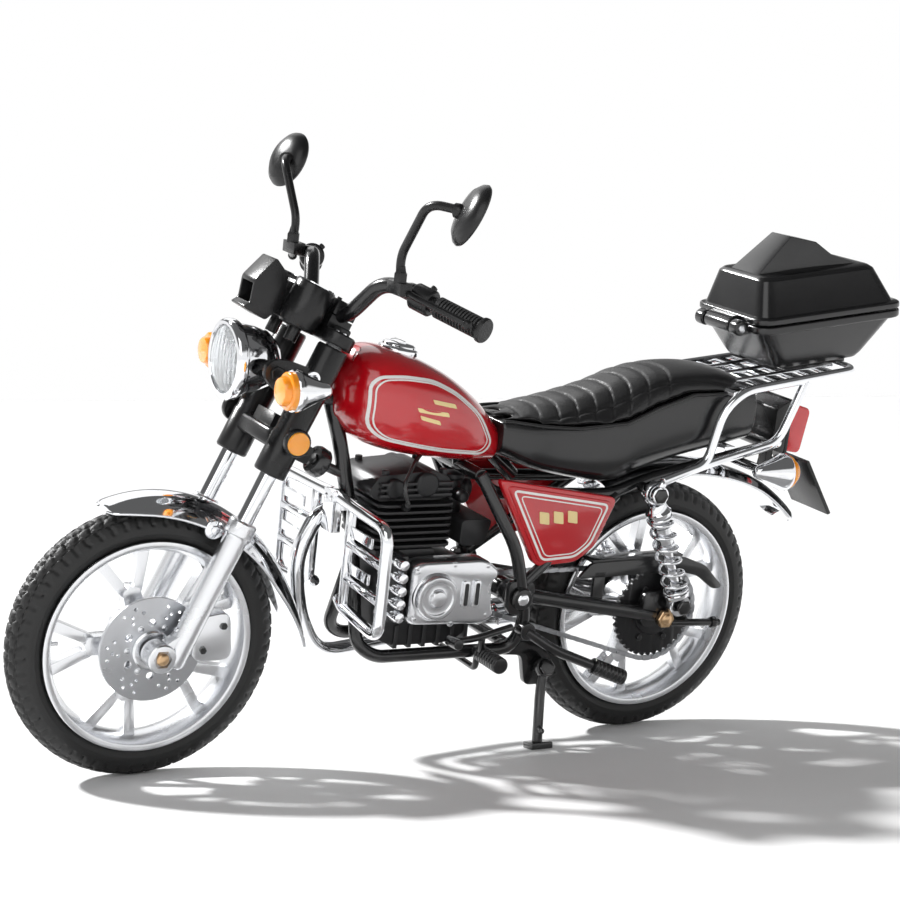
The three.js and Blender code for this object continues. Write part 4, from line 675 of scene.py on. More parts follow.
GUARD = [(70, 32.9, 5, 1), (84, 33.2, 6.6, 3), (108, 33.4, 6.9, 4.6), (135, 33.6, 6.9, 4.4),
    (160, 34.6, 6.8, 3.4), (183, 37.6, 5.6, 1)]
rings, hems = [], ([], [])
for k in range(61):
    degrees, radius, half, drop = catmull(GUARD, k / 60)
    if k < 4:
        half *= 0.62 + 0.38 * math.sqrt(1 - (1 - k / 4) ** 2)
    a = math.radians(degrees)
    up = Vector((math.cos(a), 0, math.sin(a)))
    middle = Vector(FRONT) + up * radius
    rings.append(arch_ring(middle, up, half, drop, 2.6, 0.6))
    for side, hem in zip((1, -1), hems):
        hem.append(middle + Vector((0, side * (half - 0.3), 0)) - up * (drop + 0.25))
stays = []
for side in (1, -1):
    stays += [rod((52.2, side * 5.6, 56.2), (52.2, side * 7.1, 56.2), 2.2, 32, chamfer=0.3),
        rod((52.2, side * 6.9, 56.2), (52.2, side * 7.7, 56.2), 1.1, 6, chamfer=0.12)]
piece("front_mudguard_blade", [sweep_rings(rings), tube(hems[0], 0.38, 0, 8),
    tube(hems[1], 0.38, 0, 8)] + stays, "fork_legs", CHROME, "front_mudguard", angle=50)

refined("brake_caliper", "fork_legs", SILVER, 0.35)
caliper_bolts = [rod((x, 8.2, z), (x, 9.2, z), 0.8, 6, chamfer=0.12)
    for x, z in ((49, 35.2), (53.4, 30))]
piece("caliper_bolts", caliper_bolts, "fork_legs", FRAME_BLACK)

# ---- frame
def fork_line(s, ahead=-5.2):
    return (60.2 + ahead * math.cos(RAKE) - s * math.sin(RAKE), 0,
        30 + ahead * math.sin(RAKE) + s * math.cos(RAKE))


SPINE = [(29.6, 0, 84.6), (22, 0, 82), (6, 0, 79.5), (-14, 0, 73.5), (-24, 0, 64.5)]
frame_parts = [rod(fork_line(52.9), fork_line(72.5), 3.1, 40), tube(SPINE, 1.8, 6, 20),
    tube([(24.2, 0, 82), (21.2, 0, 73.5), (15.4, 0, 50.5), (15.2, 0, 45)], 1.7, 4, 20),
    rod((-9.6, -10.6, 67.4), (-9.6, 10.6, 67.4), 1.5), rod((-8.6, 0, 74.4), (-9.6, 0, 67.4), 1.5),
    rod((-91.4, -8.2, 72.5), (-91.4, 8.2, 72.5), 1.3), rod((-22, -11.6, 26.6), (-22, 11.6, 26.6), 1.4),
    rod((-21.3, -15.4, 39.3), (-21.3, 15.4, 39.3), 1.3), slab(soft_outline([(-19, 24.6), (-19, 28),
    (-33, 27), (-35, 16.5), (-27.6, 16.5), (-26, 24)], 1.6), 8.7, 10.4)]
for side in (1, -1):
    frame_parts += [tube([(15.2, side * 0.4, 46.4), (16, side * 7, 28.6), (12, side * 8.6, 25.6),
        (-22, side * 11.6, 26.4), (-23.6, side * 13.7, 34), (-19.4, side * 13.4, 50.5),
        (-9.4, side * 10.6, 67.8)], 1.5, 4, 18), tube([(-9.6, side * 9, 67.4), (-14, side * 8.6, 62.8),
        (-46, side * 8.6, 61.6), (-56, side * 8.8, 65.2), (-92, side * 8.2, 72.6)], 1.4, 4, 18),
        rod((-54.1, side * 8.4, 63.6), (-54.1, side * 17.4, 63.3), 1.2),
        rod((-54.1, side * 17.6, 63.3), (-54.1, side * 18.4, 63.3), 1.9, 6, chamfer=0.3),
        slab(soft_outline([(-18.2, 35.4), (-24.8, 35.4), (-25, 43), (-18, 43.4)], 2), side * 13.4 - 0.8,
        side * 13.4 + 0.8), rod((-21.3, side * 14.4, 39.3), (-21.3, side * 15.7, 39.3), 2.7, 36,
        chamfer=0.4), rod((-23.4, side * 13, 31.6), (-23.4, side * 16, 31.6), 2, 24),
        rod((-22.4, side * 13.3, 42.6), (-47.4, side * 9.4, 61.6), 1.35, 24)]
    knee, end = ((-30, 16.4, 27.2), (-49.5, 18.4, 19.6)) if side > 0 else ((-30, -16.4, 33.2),
        (-45, -18.4, 33.6))
    frame_parts.append(tube([(-23.4, side * 15.2, 31.6), knee, end], 1.2, 4, 18))
    direction = (Vector(end) - Vector(knee)).normalized()
    steps = [(1.2, 0)]
    for k in range(8):
        steps += [(1.9, 0.15 + k * 1.1), (1.9, 0.75 + k * 1.1), (1.6, 0.85 + k * 1.1),
            (1.6, 1.1 + k * 1.1)]
    steps += [(1.9, 9), (1.7, 9.2), (0.1, 9.3)]
    frame_parts.append(lathe(steps, Vector(end) - direction * 9.1, direction, 28))
pin = [Vector((-31, 11.8 + 0.925 * s, 21 + 0.381 * s)) for s in (-3, 2.9, 2.3, 3.1)]
frame_parts += [rod(pin[0], pin[1], 1.05), rod(pin[2], pin[3], 2, 6, chamfer=0.25)]
piece("frame_tubes", frame_parts, "chassis", FRAME_BLACK, "main_frame", bevel=0.15)
horn = [lathe([(0.1, 0), (3.1, 0), (3.4, 0.4), (3.4, 2.4), (3.1, 3.0), (2.7, 3.0), (2.5, 2.6),
    (1.4, 2.5), (1.2, 3.1), (0.1, 3.2)], (24.8, 0, 68), (0.87, 0, 0.5), 40),
    rod((20.2, 0, 66), (25, 0, 68.1), 1.1)]
piece("horn_body", horn, "chassis", FRAME_BLACK)
piece("pivot_caps", [dome((-21.3, side * 15.6, 39.3), (0, side, 0), 1.5, 0.6) for side in (1, -1)],
    "chassis", CHROME)

# ---- engine
CRANK = [(12.6, 30), (12.6, 44), (9, 48.4), (-6, 48.4), (-12.2, 46), (-12.2, 33), (-8, 28.2), (8, 28.2)]
crank = [slab(soft_outline(CRANK, 3), -9.4, 9.4), slab([(-1.4, 47), (13.4, 47), (13.6, 50), (-1, 50)],
    -7.6, 7.6), block((8.6, 8, 35.4), (12.2, 13.8, 50.4))]
for k in range(6):
    crank.append(block((-11 + 3.6 * k, -9.9, 27.7), (-10 + 3.6 * k, 9.9, 33)))
crank.append(rod((6, -9, 50), (6, -9, 47), 1.6, 24))
piece("crankcase_block", crank, "chassis", ENGINE_BLACK, "crankcase", bevel=0.3)
ribs = []
for k in range(5):
    z = 37.2 + 3 * k
    ribs.append(lathe([(0.1, 9), (1.38, 9.1), (1.38, 15.9), (1.1, 16.7), (0.1, 17.05)], (10.9, 0, z),
        (0, 1, 0), 28))
    ribs.append(lathe([(0.1, -0.2), (1.3, 0), (1.36, 1.4), (0.8, 2.3), (0.1, 2.6)], (12, 11.4, z),
        (1, 0, 0), 28))
piece("front_cooling_ribs", ribs, "chassis", CHROME)

COVER = [(7.6, 34.4), (7.6, 47.6), (5.4, 49), (-11.4, 49.1), (-15.4, 45.8), (-13.4, 43.6), (-13.8, 38.2),
    (-14.9, 35), (-12.2, 33.6)]


def shrunk(outline, amount):
    cx = sum(x for x, _ in outline) / len(outline)
    cz = sum(z for _, z in outline) / len(outline)
    return [(cx + (x - cx) * amount, cz + (z - cz) * amount) for x, z in outline]


for hand, side in SIDES:
    shape = soft_outline(COVER, 2.2, 6)
    layers = [(9.7, 1.0), (13.2, 1.0), (14.0, 0.975), (14.45, 0.94), (14.6, 0.88)]
    cover = [sweep_rings([[(x, y, z) for x, z in shrunk(shape, k)] for y, k in layers]),
        lathe([(0.1, 14.2), (5.6, 14.2), (5.6, 14.9), (5.2, 15.1), (5.1, 15.9), (4.8, 16.3), (3.9, 16.3),
        (3.7, 16.0), (2.2, 16.0), (2.0, 16.4), (1.7, 16.9), (0.1, 17.0)], (1.4, 0, 41), (0, 1, 0), 64)]
    for x in (-9.2, -6.4):
        cover.append(slab(soft_outline([(x - 0.95, 38), (x + 0.95, 38), (x + 0.95, 44.4),
            (x - 0.95, 44.4)], 0.9), 14.3, 15.1))
    for x, z in ((6, 36), (6.2, 46.8), (-3, 48), (-11.6, 47.4), (-12.2, 36), (-3.4, 34.6)):
        cover += screw((x, 14.35, z), (0, 1, 0), 0.7)
    cover = [flipped(part, side) for part in cover]
    piece(f"engine_cover_{hand}_cast", cover, "chassis", SILVER, f"engine_cover_{hand}", bevel=0.12,
        angle=42)
    slots = [slab(soft_outline([(x - 0.5, 38.6), (x + 0.5, 38.6), (x + 0.5, 43.8), (x - 0.5, 43.8)],
        0.45), 15.0, 15.16) for x in (-9.2, -6.4)]
    piece(f"engine_cover_{hand}_slots", [flipped(part, side) for part in slots], "chassis", ENGINE_BLACK)

barrel = [block((-2.6, -6, 50), (13.2, 6, 62.4))]
for k in range(7):
    z = 51 + 1.55 * k
    fin = soft_outline([(-4.6, -9.6), (14.6, -9.6), (14.6, 9.6), (-4.6, 9.6)], 2.6, 4)
    barrel.append(sweep_rings([[(x, y, h) for x, y in fin] for h in (z, z + 0.62)]))
HEAD = [(-1.6, 62.6), (17.2, 62.6), (18.4, 64.8), (16.2, 68), (2.4, 69), (-2, 67)]
barrel.append(slab(soft_outline([(x - 1.6, z - 0.8) for x, z in HEAD], 1.4), -8, 8))
for k in range(3):
    barrel.append(block((-3.4, -9.2, 62.6 + 1.3 * k), (14.6, 9.2, 63.2 + 1.3 * k)))
for x, z, r in ((3, 65.2, 2.9), (11, 64.4, 2.3)):
    barrel.append(lathe([(0.1, -9.5), (r * 0.8, -9.5), (r, -9.1), (r, 9.1), (r * 0.8, 9.5), (0.1, 9.5)],
        (x, 0, z), (0, 1, 0), 36))
for x, y in ((-2, 6.6), (12.6, 6.6), (-2, -6.6), (12.6, -6.6)):
    barrel.append(rod((x, y, 66.2), (x, y, 68.3), 0.95, 6, chamfer=0.15))
barrel.append(rod((10, -4.8, 58.6), (13.4, -4.8, 58), 2.5))
barrel.append(lathe([(0.1, 0), (1, 0), (1, 2.2), (0.7, 2.6), (0.7, 4), (0.1, 4.1)], (8, 8.8, 60),
    (0.3, 0.8, 0.4), 20))
piece("cylinder_and_head", barrel, "chassis", ENGINE_BLACK, "cylinder", bevel=0.1)
lead = tube([(9.2, 12, 61.8), (11, 12.6, 66), (6, 8, 71), (0, 3, 73)], 0.5, 3, 10)
piece("spark_lead", [lead], "chassis", FRAME_BLACK)

carb = [lathe([(0.1, 0), (2.4, 0), (2.6, 0.6), (2.3, 1.2), (2.3, 5.4), (2.8, 5.8), (2.8, 7), (0.1, 7)],
    (-5.3, 0, 62.8), (-6.7, 0, -1.4), 36), lathe([(0.1, 56), (2.2, 56), (2.6, 56.6), (2.6, 59.4),
    (2.9, 59.6), (2.9, 60.4), (2.5, 60.8), (2.5, 64.2), (2.9, 64.6), (2.7, 65.6), (0.1, 65.8)],
    (-8.4, 0, 0), (0, 0, 1), 36), lathe([(0.1, 0.4), (1.5, 0.6), (1.5, 5.6), (1.1, 6.4), (0.1, 6.5)],
    (-8.4, 0, 61.2), (0, 1, 0), 24), slab(soft_outline([(-6.9, 50.7), (-13.3, 50.7), (-14.9, 56.7),
    (-6.9, 56.7)], 1.4), -8.9, 8.9)]
piece("carburettor_and_airbox", carb, "chassis", ENGINE_BLACK, "intake", bevel=0.25)

PIPE = [(14.2, -4.8, 57.8), (22.4, -4.8, 55.8), (26.9, -4.9, 46), (25.1, -5.4, 33), (18, -8, 21.2),
    (-12, -16.3, 20.8), (-28, -17, 24)]
silencer_axis = Vector((-math.cos(0.09), 0, math.sin(0.09)))
can = lathe([(0.1, 0), (2, 0), (2.2, 0.4), (3.2, 4.4), (4.05, 8), (4.3, 8.4), (4.3, 9), (4.15, 9.3),
    (4.3, 48), (4.45, 48.4), (4.45, 49.2), (4.3, 49.6), (3.9, 54), (3.4, 56), (2.6, 56.5), (2.2, 56.3),
    (2.0, 54), (0.1, 53.8)], (-24.5, -17, 23.6), silencer_axis, 56)
pipe_parts = [tube(PIPE, 1.9, 8, 28, 12), can, rod((-60, -16.6, 27.4), (-60, -12.8, 31), 1),
    rod((15.4, -4.8, 57.6), (17, -4.8, 57.2), 2.9, 32, chamfer=0.3)]
piece("exhaust_chrome", pipe_parts, "chassis", CHROME, "exhaust", angle=50)

# ---- guard bars
bars = [slab([(20.2, 53), (22.6, 53), (22.6, 62.4), (20.2, 62.4)], -2.4, 2.4),
    block((16.6, -2.5, 58), (20.6, 2.5, 60.6))]
for side in (1, -1):
    loop = [(21, side * 1.4, 61.2), (21, side * 8.8, 60.8), (21, side * 26, 60.2), (21, side * 26, 36.2),
        (21, side * 8.4, 37.8), (21, side * 6.2, 39.4)]
    bars += [tube(loop, 1.35, 4.2, 22, 10), rod((21, side * 8.8, 60.8), (21, side * 8.8, 38), 1.2),
        rod((21, side * 8.8, 52.5), (21, side * 26, 51.9), 1.1), rod((21, side * 8.8, 44.6),
        (21, side * 26, 44), 1.0)]
    for z in (48.2, 56.2):
        bars.append(slab(soft_outline([(22.1, z - 1.2), (22.7, z - 1.2), (22.7, z + 1.2),
            (22.1, z + 1.2)], 0.2), side * 17 - 5, side * 17 + 5))
    bars += screw((22.6, side * 1.3, 60.6), (1, 0, 0), 0.6)
piece("guard_bars_chrome", bars, "chassis", CHROME, "guard_bars", bevel=0.15, angle=50)

# ---- tank, cap, side covers
TANK = [(-15.4, 68.8, 78.4, 6.4, 2.4), (-9, 69, 84.4, 10, 2.4), (-1, 69.9, 89.6, 12.4, 2.5),
    (8, 71.2, 93.4, 13.8, 2.5), (15.6, 73, 95, 12.8, 2.4), (20.6, 75.6, 93.8, 10.4, 2.3),
    (23.4, 79, 90.4, 6.4, 2.1)]


def hull_side(stations, x, z):
    low, high = 0.0, 1.0
    for _ in range(40):
        middle = (low + high) / 2
        if (catmull(stations, middle)[0] < x) == (stations[0][0] < stations[-1][0]):
            low = middle
        else:
            high = middle
    _, bottom, top_z, half, power = catmull(stations, low)
    v = (z - (bottom + top_z) / 2) / ((top_z - bottom) / 2)
    return half * max(0.0, 1 - abs(min(max(v, -0.999), 0.999)) ** power) ** (1 / power)


angles = [2 * math.pi * k / 96 for k in range(96)]
shell_rings = [hull_ring(catmull(TANK, k / 72), angles) for k in range(73)]
for rings_end, inward in ((0, 1), (-1, -1)):
    ring = shell_rings[rings_end]
    middle = sum(ring, Vector()) / len(ring)
    bulge = [[middle + (p - middle) * k + Vector((-inward * d, 0, 0)) for p in ring]
        for k, d in ((0.93, 0.5), (0.8, 0.9), (0.5, 1.2))]
    shell_rings = bulge[::-1] + shell_rings if inward > 0 else shell_rings + bulge
cutters = [rod(fork_line(48), fork_line(78), 3.7, 40, chamfer=0),
    rod(fork_line(72.4), fork_line(90), 5.6, 40, chamfer=0), rod(fork_line(30), fork_line(53), 5.4, 40,
    chamfer=0)]
piece("fuel_tank_shell", [sweep_rings(shell_rings)], "chassis", RED, "fuel_tank", cutters=cutters,
    angle=44)
cap_axis = (math.sin(-0.16), 0, math.cos(0.16))
cap = [lathe([(0.1, -0.8), (4.6, -0.8), (4.6, 0.2), (4.3, 0.5), (3.9, 0.6), (3.8, 1.1), (3.2, 1.5),
    (1.8, 1.65), (0.1, 1.7)], (9, 0, 94.0), cap_axis, 56), turned(block((8.2, -2.4, 95.4),
    (9.8, 2.4, 96.0)), 0.16, (9, 0, 94))]
piece("fuel_cap_chrome", cap, "chassis", CHROME, "fuel_cap", bevel=0.12)


def ribbon(outline, width, surface, lift, side, thickness=0.1):
    loop = []
    count = len(outline)
    points = [Vector(p) for p in outline]
    for i, p in enumerate(points):
        ahead = (points[(i + 1) % count] - points[i - 1]).normalized()
        normal = Vector((-ahead.y, ahead.x))
        ring = []
        for off, up in ((-0.5, 0), (0.5, 0), (0.5, thickness), (-0.5, thickness)):
            q = p + normal * (off * width)
            ring.append(Vector((q.x, side * (surface(q.x, q.y) + lift + up), q.y)))
        loop.append(ring)
    return sweep_rings(loop + [loop[0]], caps=False)


def dense(outline, step=0.5):
    points = [Vector(p) for p in outline]
    result = []
    for a, b in zip(points, points[1:] + points[:1]):
        count = max(1, int((b - a).length / step))
        result += [tuple(a.lerp(b, k / count)) for k in range(count)]
    return result


STRIPE = [(20.4, 88.2), (20.4, 79.4), (16.6, 76.2), (1.1, 73.3), (-10.4, 71.9), (-12.6, 74.3),
    (-7.9, 81.4), (-0.9, 86.4), (5.7, 89.3), (13.1, 90.3), (18.4, 90.0)]
PANEL = [(-12.6, 67.2), (-45.2, 62), (-40.4, 50.6), (-35.6, 47), (-24.6, 46.4)]


def tank_side(x, z):
    return hull_side(TANK, x, z)


for hand, side in SIDES:
    outer = dense(soft_outline(STRIPE, 2.4))
    inner = dense(soft_outline(shrunk(STRIPE, 0.93), 2.2))
    piece(f"tank_stripe_{hand}", [ribbon(outer, 0.62, tank_side, 0.0, side),
        ribbon(inner, 0.3, tank_side, 0.0, side)], "chassis", WHITE)
    badge = []
    for k, (x, length) in enumerate(((-0.4, 6.4), (1.6, 8.2), (3.8, 5.2))):
        bar = soft_outline([(x, 83.2 - 1.7 * k), (x + length, 84.6 - 1.7 * k),
            (x + length + 0.5, 85.6 - 1.7 * k), (x + 0.5, 84.2 - 1.7 * k)], 0.3)
        loop = dense(bar, 0.4)
        badge.append(sweep_rings([[Vector((p, side * (tank_side(p, q) + up), q)) for p, q in loop]
            for up in (-0.1, 0.14)]))
    piece(f"tank_badge_{hand}", badge, "chassis", GOLD)

    def layered(scale, y0, y1, edge=0.35):
        shape = soft_outline(shrunk(PANEL, scale), 2.0, 6)
        return sweep_rings([[(x, side * y, z) for x, z in shrunk(shape, k)]
            for y, k in ((y0, 1), (y1 - edge, 1), (y1 - edge * 0.3, 0.992), (y1, 0.976))])
    piece(f"side_cover_{hand}_panel", [layered(1, 11.9, 13.6), layered(0.9, 13.4, 14.0, 0.25)],
        "chassis", RED, f"side_cover_{hand}", angle=50)
    lines = [ribbon(dense(soft_outline(shrunk(PANEL, k), 1.4)), w, lambda x, z: 14.0, -0.03, side)
        for k, w in ((0.8, 0.55), (0.7, 0.28))]
    piece(f"side_cover_{hand}_stripe", lines, "chassis", WHITE)
    bars_mark = [slab(soft_outline([(x, 56.4), (x + 2.6, 56.8), (x + 3, 59.6), (x + 0.4, 59.2)], 0.3),
        side * 14.05 - 0.08, side * 14.05 + 0.08) for x in (-34.4, -30.6, -26.8)]
    piece(f"side_cover_{hand}_mark", bars_mark, "chassis", GOLD)

# ---- seat
SEAT = [(-15.2, 71, 80.6, 8.4, 3), (-24, 67.8, 81.2, 12.2, 3.4), (-36, 65.4, 83.4, 13.2, 3.6),
    (-45, 64.4, 86, 13.2, 3.6), (-52, 66.6, 88.8, 13, 3.6), (-62, 69.4, 91, 12.6, 3.6),
    (-74, 71.8, 91, 12, 3.4), (-84, 73.6, 88.2, 11, 3)]
PIPING = [(-10, 79.6), (-24, 78.7), (-33, 78.4), (-45.7, 79.6), (-54, 83), (-64, 86), (-90, 86.4)]


def piping_z(x):
    for (x0, z0), (x1, z1) in zip(PIPING, PIPING[1:]):
        if x >= x1:
            return z0 + (z1 - z0) * (x - x0) / (x1 - x0)
    return PIPING[-1][1]


def seat_ring(t, top, shrink=0.0, count=40):
    x, low, high, half, power = catmull(SEAT, t)
    middle, tall = (low + high) / 2, (high - low) / 2 - shrink
    level = min(piping_z(x), high - 1.6)
    split = math.copysign(abs((level - middle) / tall) ** (power / 2), level - middle)
    split = math.asin(max(-0.999, min(0.999, split)))
    if top:
        angles = [split + (math.pi - 2 * split) * k / (count - 1) for k in range(count)]
        drop = 0.15
    else:
        angles = [math.pi - split + (math.pi + 2 * split) * k / (count - 1) for k in range(count)]
        drop = -0.15
    return [Vector((p.x, p.y, p.z + drop)) for p in hull_ring((x, low + shrink, high - shrink,
        half - shrink, power), angles)]


def remeshed(obj, voxel):
    remesh = obj.modifiers.new("remesh", "REMESH")
    remesh.mode = "VOXEL"
    remesh.voxel_size = voxel
    settle(obj)


def puff(obj, scale=20.0, cap=0.9, pressure=4.0):
    """Inflates the pad as cloth at a larger scale, with its underside held, and brings it back."""
    obj.data.transform(Matrix.Scale(scale, 4))
    remeshed(obj, PAD_VOXEL / 1000 * scale)
    start = [v.co.copy() for v in obj.data.vertices]
    held = [i for i, v in enumerate(obj.data.vertices) if v.normal.z < -0.3]
    obj.vertex_groups.new(name="held").add(held, 1.0, "REPLACE")
    cloth = obj.modifiers.new("cloth", "CLOTH")
    cloth.settings.quality = 5
    cloth.settings.mass = 0.3
    cloth.settings.tension_stiffness = 12
    cloth.settings.compression_stiffness = 12
    cloth.settings.bending_stiffness = 0.4
    cloth.settings.vertex_group_mass = "held"
    cloth.settings.use_pressure = True
    cloth.settings.uniform_pressure_force = pressure
    cloth.settings.effector_weights.gravity = 0
    cloth.collision_settings.use_collision = False
    for step in range(1, 21):
        bpy.context.scene.frame_set(step)
    settle(obj)
    bpy.context.scene.frame_set(1)
    limit = cap / 1000 * scale
    for vertex, origin in zip(obj.data.vertices, start):
        move = vertex.co - origin
        if move.length > limit:
            vertex.co = origin + move * (limit / move.length)
    obj.data.transform(Matrix.Scale(1 / scale, 4))


PAD_VOXEL = 1.25
pad_rings = [seat_ring(0.015 + 0.975 * k / 60, True, 0.55) for k in range(61)]
seat_pad = mesh_object("seat_pad", sweep_rings(pad_rings), BIKE)
puff(seat_pad)
smooth = seat_pad.modifiers.new("smooth", "SMOOTH")
smooth.iterations = 4
smooth.factor = 0.5
fine = seat_pad.modifiers.new("fine", "SUBSURF")
fine.levels = fine.render_levels = 2
settle(seat_pad)
to_bike = BIKE.inverted()
RIB_DEPTH, RIB_WIDTH, RIB_PITCH, PIPED_HALF = 0.42, 0.42, 4.8, 9.6
RIBS = [-21.4, -26.2, -31.0, -35.8, -40.6, -45.2, -49.8, -54.6, -60.4]
for vertex in seat_pad.data.vertices:
    p = to_bike @ vertex.co
    upness = min(1, max(0, (p.z - piping_z(p.x) - 0.9) / 1.2))
    line = p.x - 0.022 * p.y * p.y
    groove = 0.0
    for rib in RIBS:
        groove += math.exp(-((line - rib) / RIB_WIDTH) ** 2)
    swell = 0.1 * math.cos((line - RIBS[0]) / RIB_PITCH * 2 * math.pi
        + math.pi) if RIBS[-1] < line < RIBS[0] else 0
    edge = math.exp(-((abs(p.y) - PIPED_HALF) / 0.4) ** 2) * 0.35 if p.x < -18 else 0
    p.z -= upness * (RIB_DEPTH * min(groove, 1) + edge - swell)
    vertex.co = BIKE @ p
seat_pad.name = "seat_pad_ribbed"
dress(seat_pad, "chassis", VINYL, "seat_cushion", angle=70)

base_rings = [seat_ring(0.005 + 0.99 * k / 60, False, 0.0) for k in range(61)]
piece("seat_side_skirt", [sweep_rings(base_rings)], "chassis", CASE_BLACK, "seat_base", bevel=0.35,
    angle=50)
for hand, side in SIDES:
    welt = []
    for k in range(64):
        t = 0.02 + 0.96 * k / 63
        x, low, high, half, power = catmull(SEAT, t)
        z = min(piping_z(x), high - 1.6)
        v = (z - (low + high) / 2) / ((high - low) / 2)
        welt.append(Vector((x, side * (half * (1 - min(0.999, abs(v)) ** power) ** (1 / power) + 0.05),
            z)))
    piece(f"seat_piping_{hand}", [tube(welt, 0.38, 0, 12)], "chassis", VINYL)

# ---- rear mudguard, rack, tail
course = [(-46.8, 63.2), (-54, 65.6), (-64, 67.4), (-74, 67.6), (-84, 66), (-93, 63), (-100, 58.8),
    (-106.6, 53.4)]
rings, hems = [], ([], [])
for k in range(61):
    t = k / 60
    x, z = catmull(course, t)
    x2, z2 = catmull(course, min(1, t + 0.01))
    x1, z1 = catmull(course, max(0, t - 0.01))
    along = Vector((x2 - x1, 0, z2 - z1)).normalized()
    up = Vector((along.z, 0, -along.x))
    half = 6.4 if t < 0.95 else 6.4 * math.sqrt(max(0.1, 1 - ((t - 0.95) / 0.06) ** 2))
    rings.append(arch_ring(Vector((x, 0, z)), up, half, 2.4, 3, 0.6))
    for side, hem in zip((1, -1), hems):
        hem.append(Vector((x, side * (half - 0.3), z)) - up * 2.6)
piece("rear_mudguard_blade", [sweep_rings(rings), tube(hems[0], 0.36, 0, 8), tube(hems[1], 0.36, 0, 8)],
    "chassis", CHROME, "rear_mudguard", angle=50)

rack = [rod((-110.8, -5, 92.2), (-110.8, 5, 92.2), 1.1), rod((-74.6, -14.4, 86.4), (-74.6, 14.4, 86.4),
    0.95)]
for side in (1, -1):
    rack += [tube([(-54.6, side * 17, 66.6), (-68.4, side * 14.6, 69.8), (-71.2, side * 14.6, 82.6),
        (-76.6, side * 14.6, 87.4), (-110.6, side * 13, 92.2), (-110.8, side * 4, 92.2)], 1.1, 3.6, 20,
        10), tube([(-54.6, side * 17, 66.6), (-68.4, side * 14.6, 69.8), (-89.4, side * 13.6, 74.6),
        (-95.2, side * 13.8, 89.6)], 1.08, 3.6, 20, 10), lathe([(1.5, 16.25), (2.2, 16.3), (2.2, 17.8),
        (1.5, 17.9)], (-54.1, 0, 63.3), (0, side, 0), 28, True), rod((-54.1, side * 17.2, 65.1),
        (-55, side * 17, 66.6), 0.9), rod((-89.4, side * 13.6, 74.4), (-91.4, side * 9.8, 73), 1)]
for x, z in ((-79, 87.9), (-84, 88.5), (-89, 89.3), (-94, 90), (-99, 90.7), (-104, 91.3)):
    rack.append(sweep_rings([[(x - 1.5, y, z - 0.4), (x + 1.5, y, z - 0.6), (x + 1.5, y, z + 0.25),
        (x - 1.5, y, z + 0.45)] for y in (-13.6, 13.6)]))
for y in (-7, 0, 7):
    rack.append(rod((-74, y, 87.3), (-108, y, 92.2), 0.7))
piece("luggage_rack_chrome", rack, "chassis", CHROME, "luggage_rack", bevel=0.12, angle=50)

lens_shape = [(-98.4, 70.2), (-103.4, 69.4), (-105.2, 80.6), (-98.4, 82.4)]
lens_layers = [(5.4, 0.94), (5.1, 1.0), (-5.1, 1.0), (-5.4, 0.94)]
lens_parts = [sweep_rings([[(x, y, z) for x, z in shrunk(soft_outline(lens_shape, 1.4, 6), k)]
    for y, k in lens_layers])]
piece("tail_lens_ribbed", lens_parts, "chassis", TAIL_RED, "tail_lens", bevel=0.15)
housing = [slab(soft_outline([(-94.4, 70.6), (-98.1, 69.6), (-98.3, 83), (-94.4, 80.8)], 0.8), -5.8,
    5.8), slab([(-98.2, 69.4), (-99.2, 69.2), (-99.4, 83), (-98.2, 83.2)], -5.75, 5.75),
    slab([(-104.4, 67.6), (-105.4, 68), (-114.8, 54.2), (-113.8, 53.8)], -7.4, 7.4),
    block((-107, -1.6, 65), (-96.4, 1.6, 67)), block((-98.3, -1.6, 65), (-96.4, 1.6, 71))]
piece("tail_housing_moulded", housing, "chassis", PLASTIC, "tail_housing", bevel=0.3)

# ---- stand and foot controls
foot_y = 18.4
ground = (foot_y * math.sin(LEAN) - 0.11) / math.cos(LEAN)


def stand_point(along):
    return (-31, 11.8 + 0.925 * along, 21 + 0.381 * along)


pad_shape = block((-3.2, -2.2, 0), (2.4, 1.8, 1.5))
tilt = Matrix.Translation((-28, foot_y, ground)) @ Matrix.Rotation(LEAN, 4, "X")
stand = [rod(stand_point(-0.1), stand_point(1.9), 2.3, 36, chamfer=0.25),
    tube([stand_point(0.9), (-30, 13.8, 16), (-28, foot_y - 0.3, ground + 1.3)], 1.2, 3, 20),
    ([tilt @ p for p in pad_shape[0]], pad_shape[1]), tube([(-28.6, foot_y - 1.2, 8.6),
    (-27.6, foot_y + 1.6, 8.6), (-26.4, foot_y + 3.4, 9.6)], 0.65, 1.5, 14)]
piece("side_stand_leg", stand, "stand", FRAME_BLACK, "side_stand", bevel=0.2)

foot = [tube([(-12, -13.3, 27), (-12, -13.3, 22.8), (-12, 13.3, 22.8), (-12, 13.3, 27)], 0.75, 1.5, 14)]
for side in (1, -1):
    steps = [(0.1, 12.8), (1.3, 12.9), (1.3, 14.4), (1.9, 14.6)]
    for k in range(8):
        steps += [(1.95, 14.8 + k * 1.1), (1.95, 15.4 + k * 1.1), (1.65, 15.5 + k * 1.1),
            (1.65, 15.8 + k * 1.1)]
    steps += [(1.95, 23.6), (1.8, 23.95), (0.1, 24)]
    foot.append(lathe(steps, (-12, 0, 27), (0, side, 0), 28))
foot += [tube([(-19, 15.6, 33), (-9, 17.4, 31.6), (-3.4, 18.4, 31.6), (-1.4, 18.8, 32)], 0.8, 3, 16),
    rod((-1.2, 18.4, 32), (-1.2, 23, 32.4), 1.2), rod((-11, 16.4, 28), (-10.6, 17, 32), 0.8),
    tube([(-12, -14.6, 27), (-4, -17.6, 28.6), (4, -19, 30), (6, -21, 30.6)], 0.9, 4, 16),
    block((4.6, -22.4, 30.2), (7.4, -19.6, 31.2))]
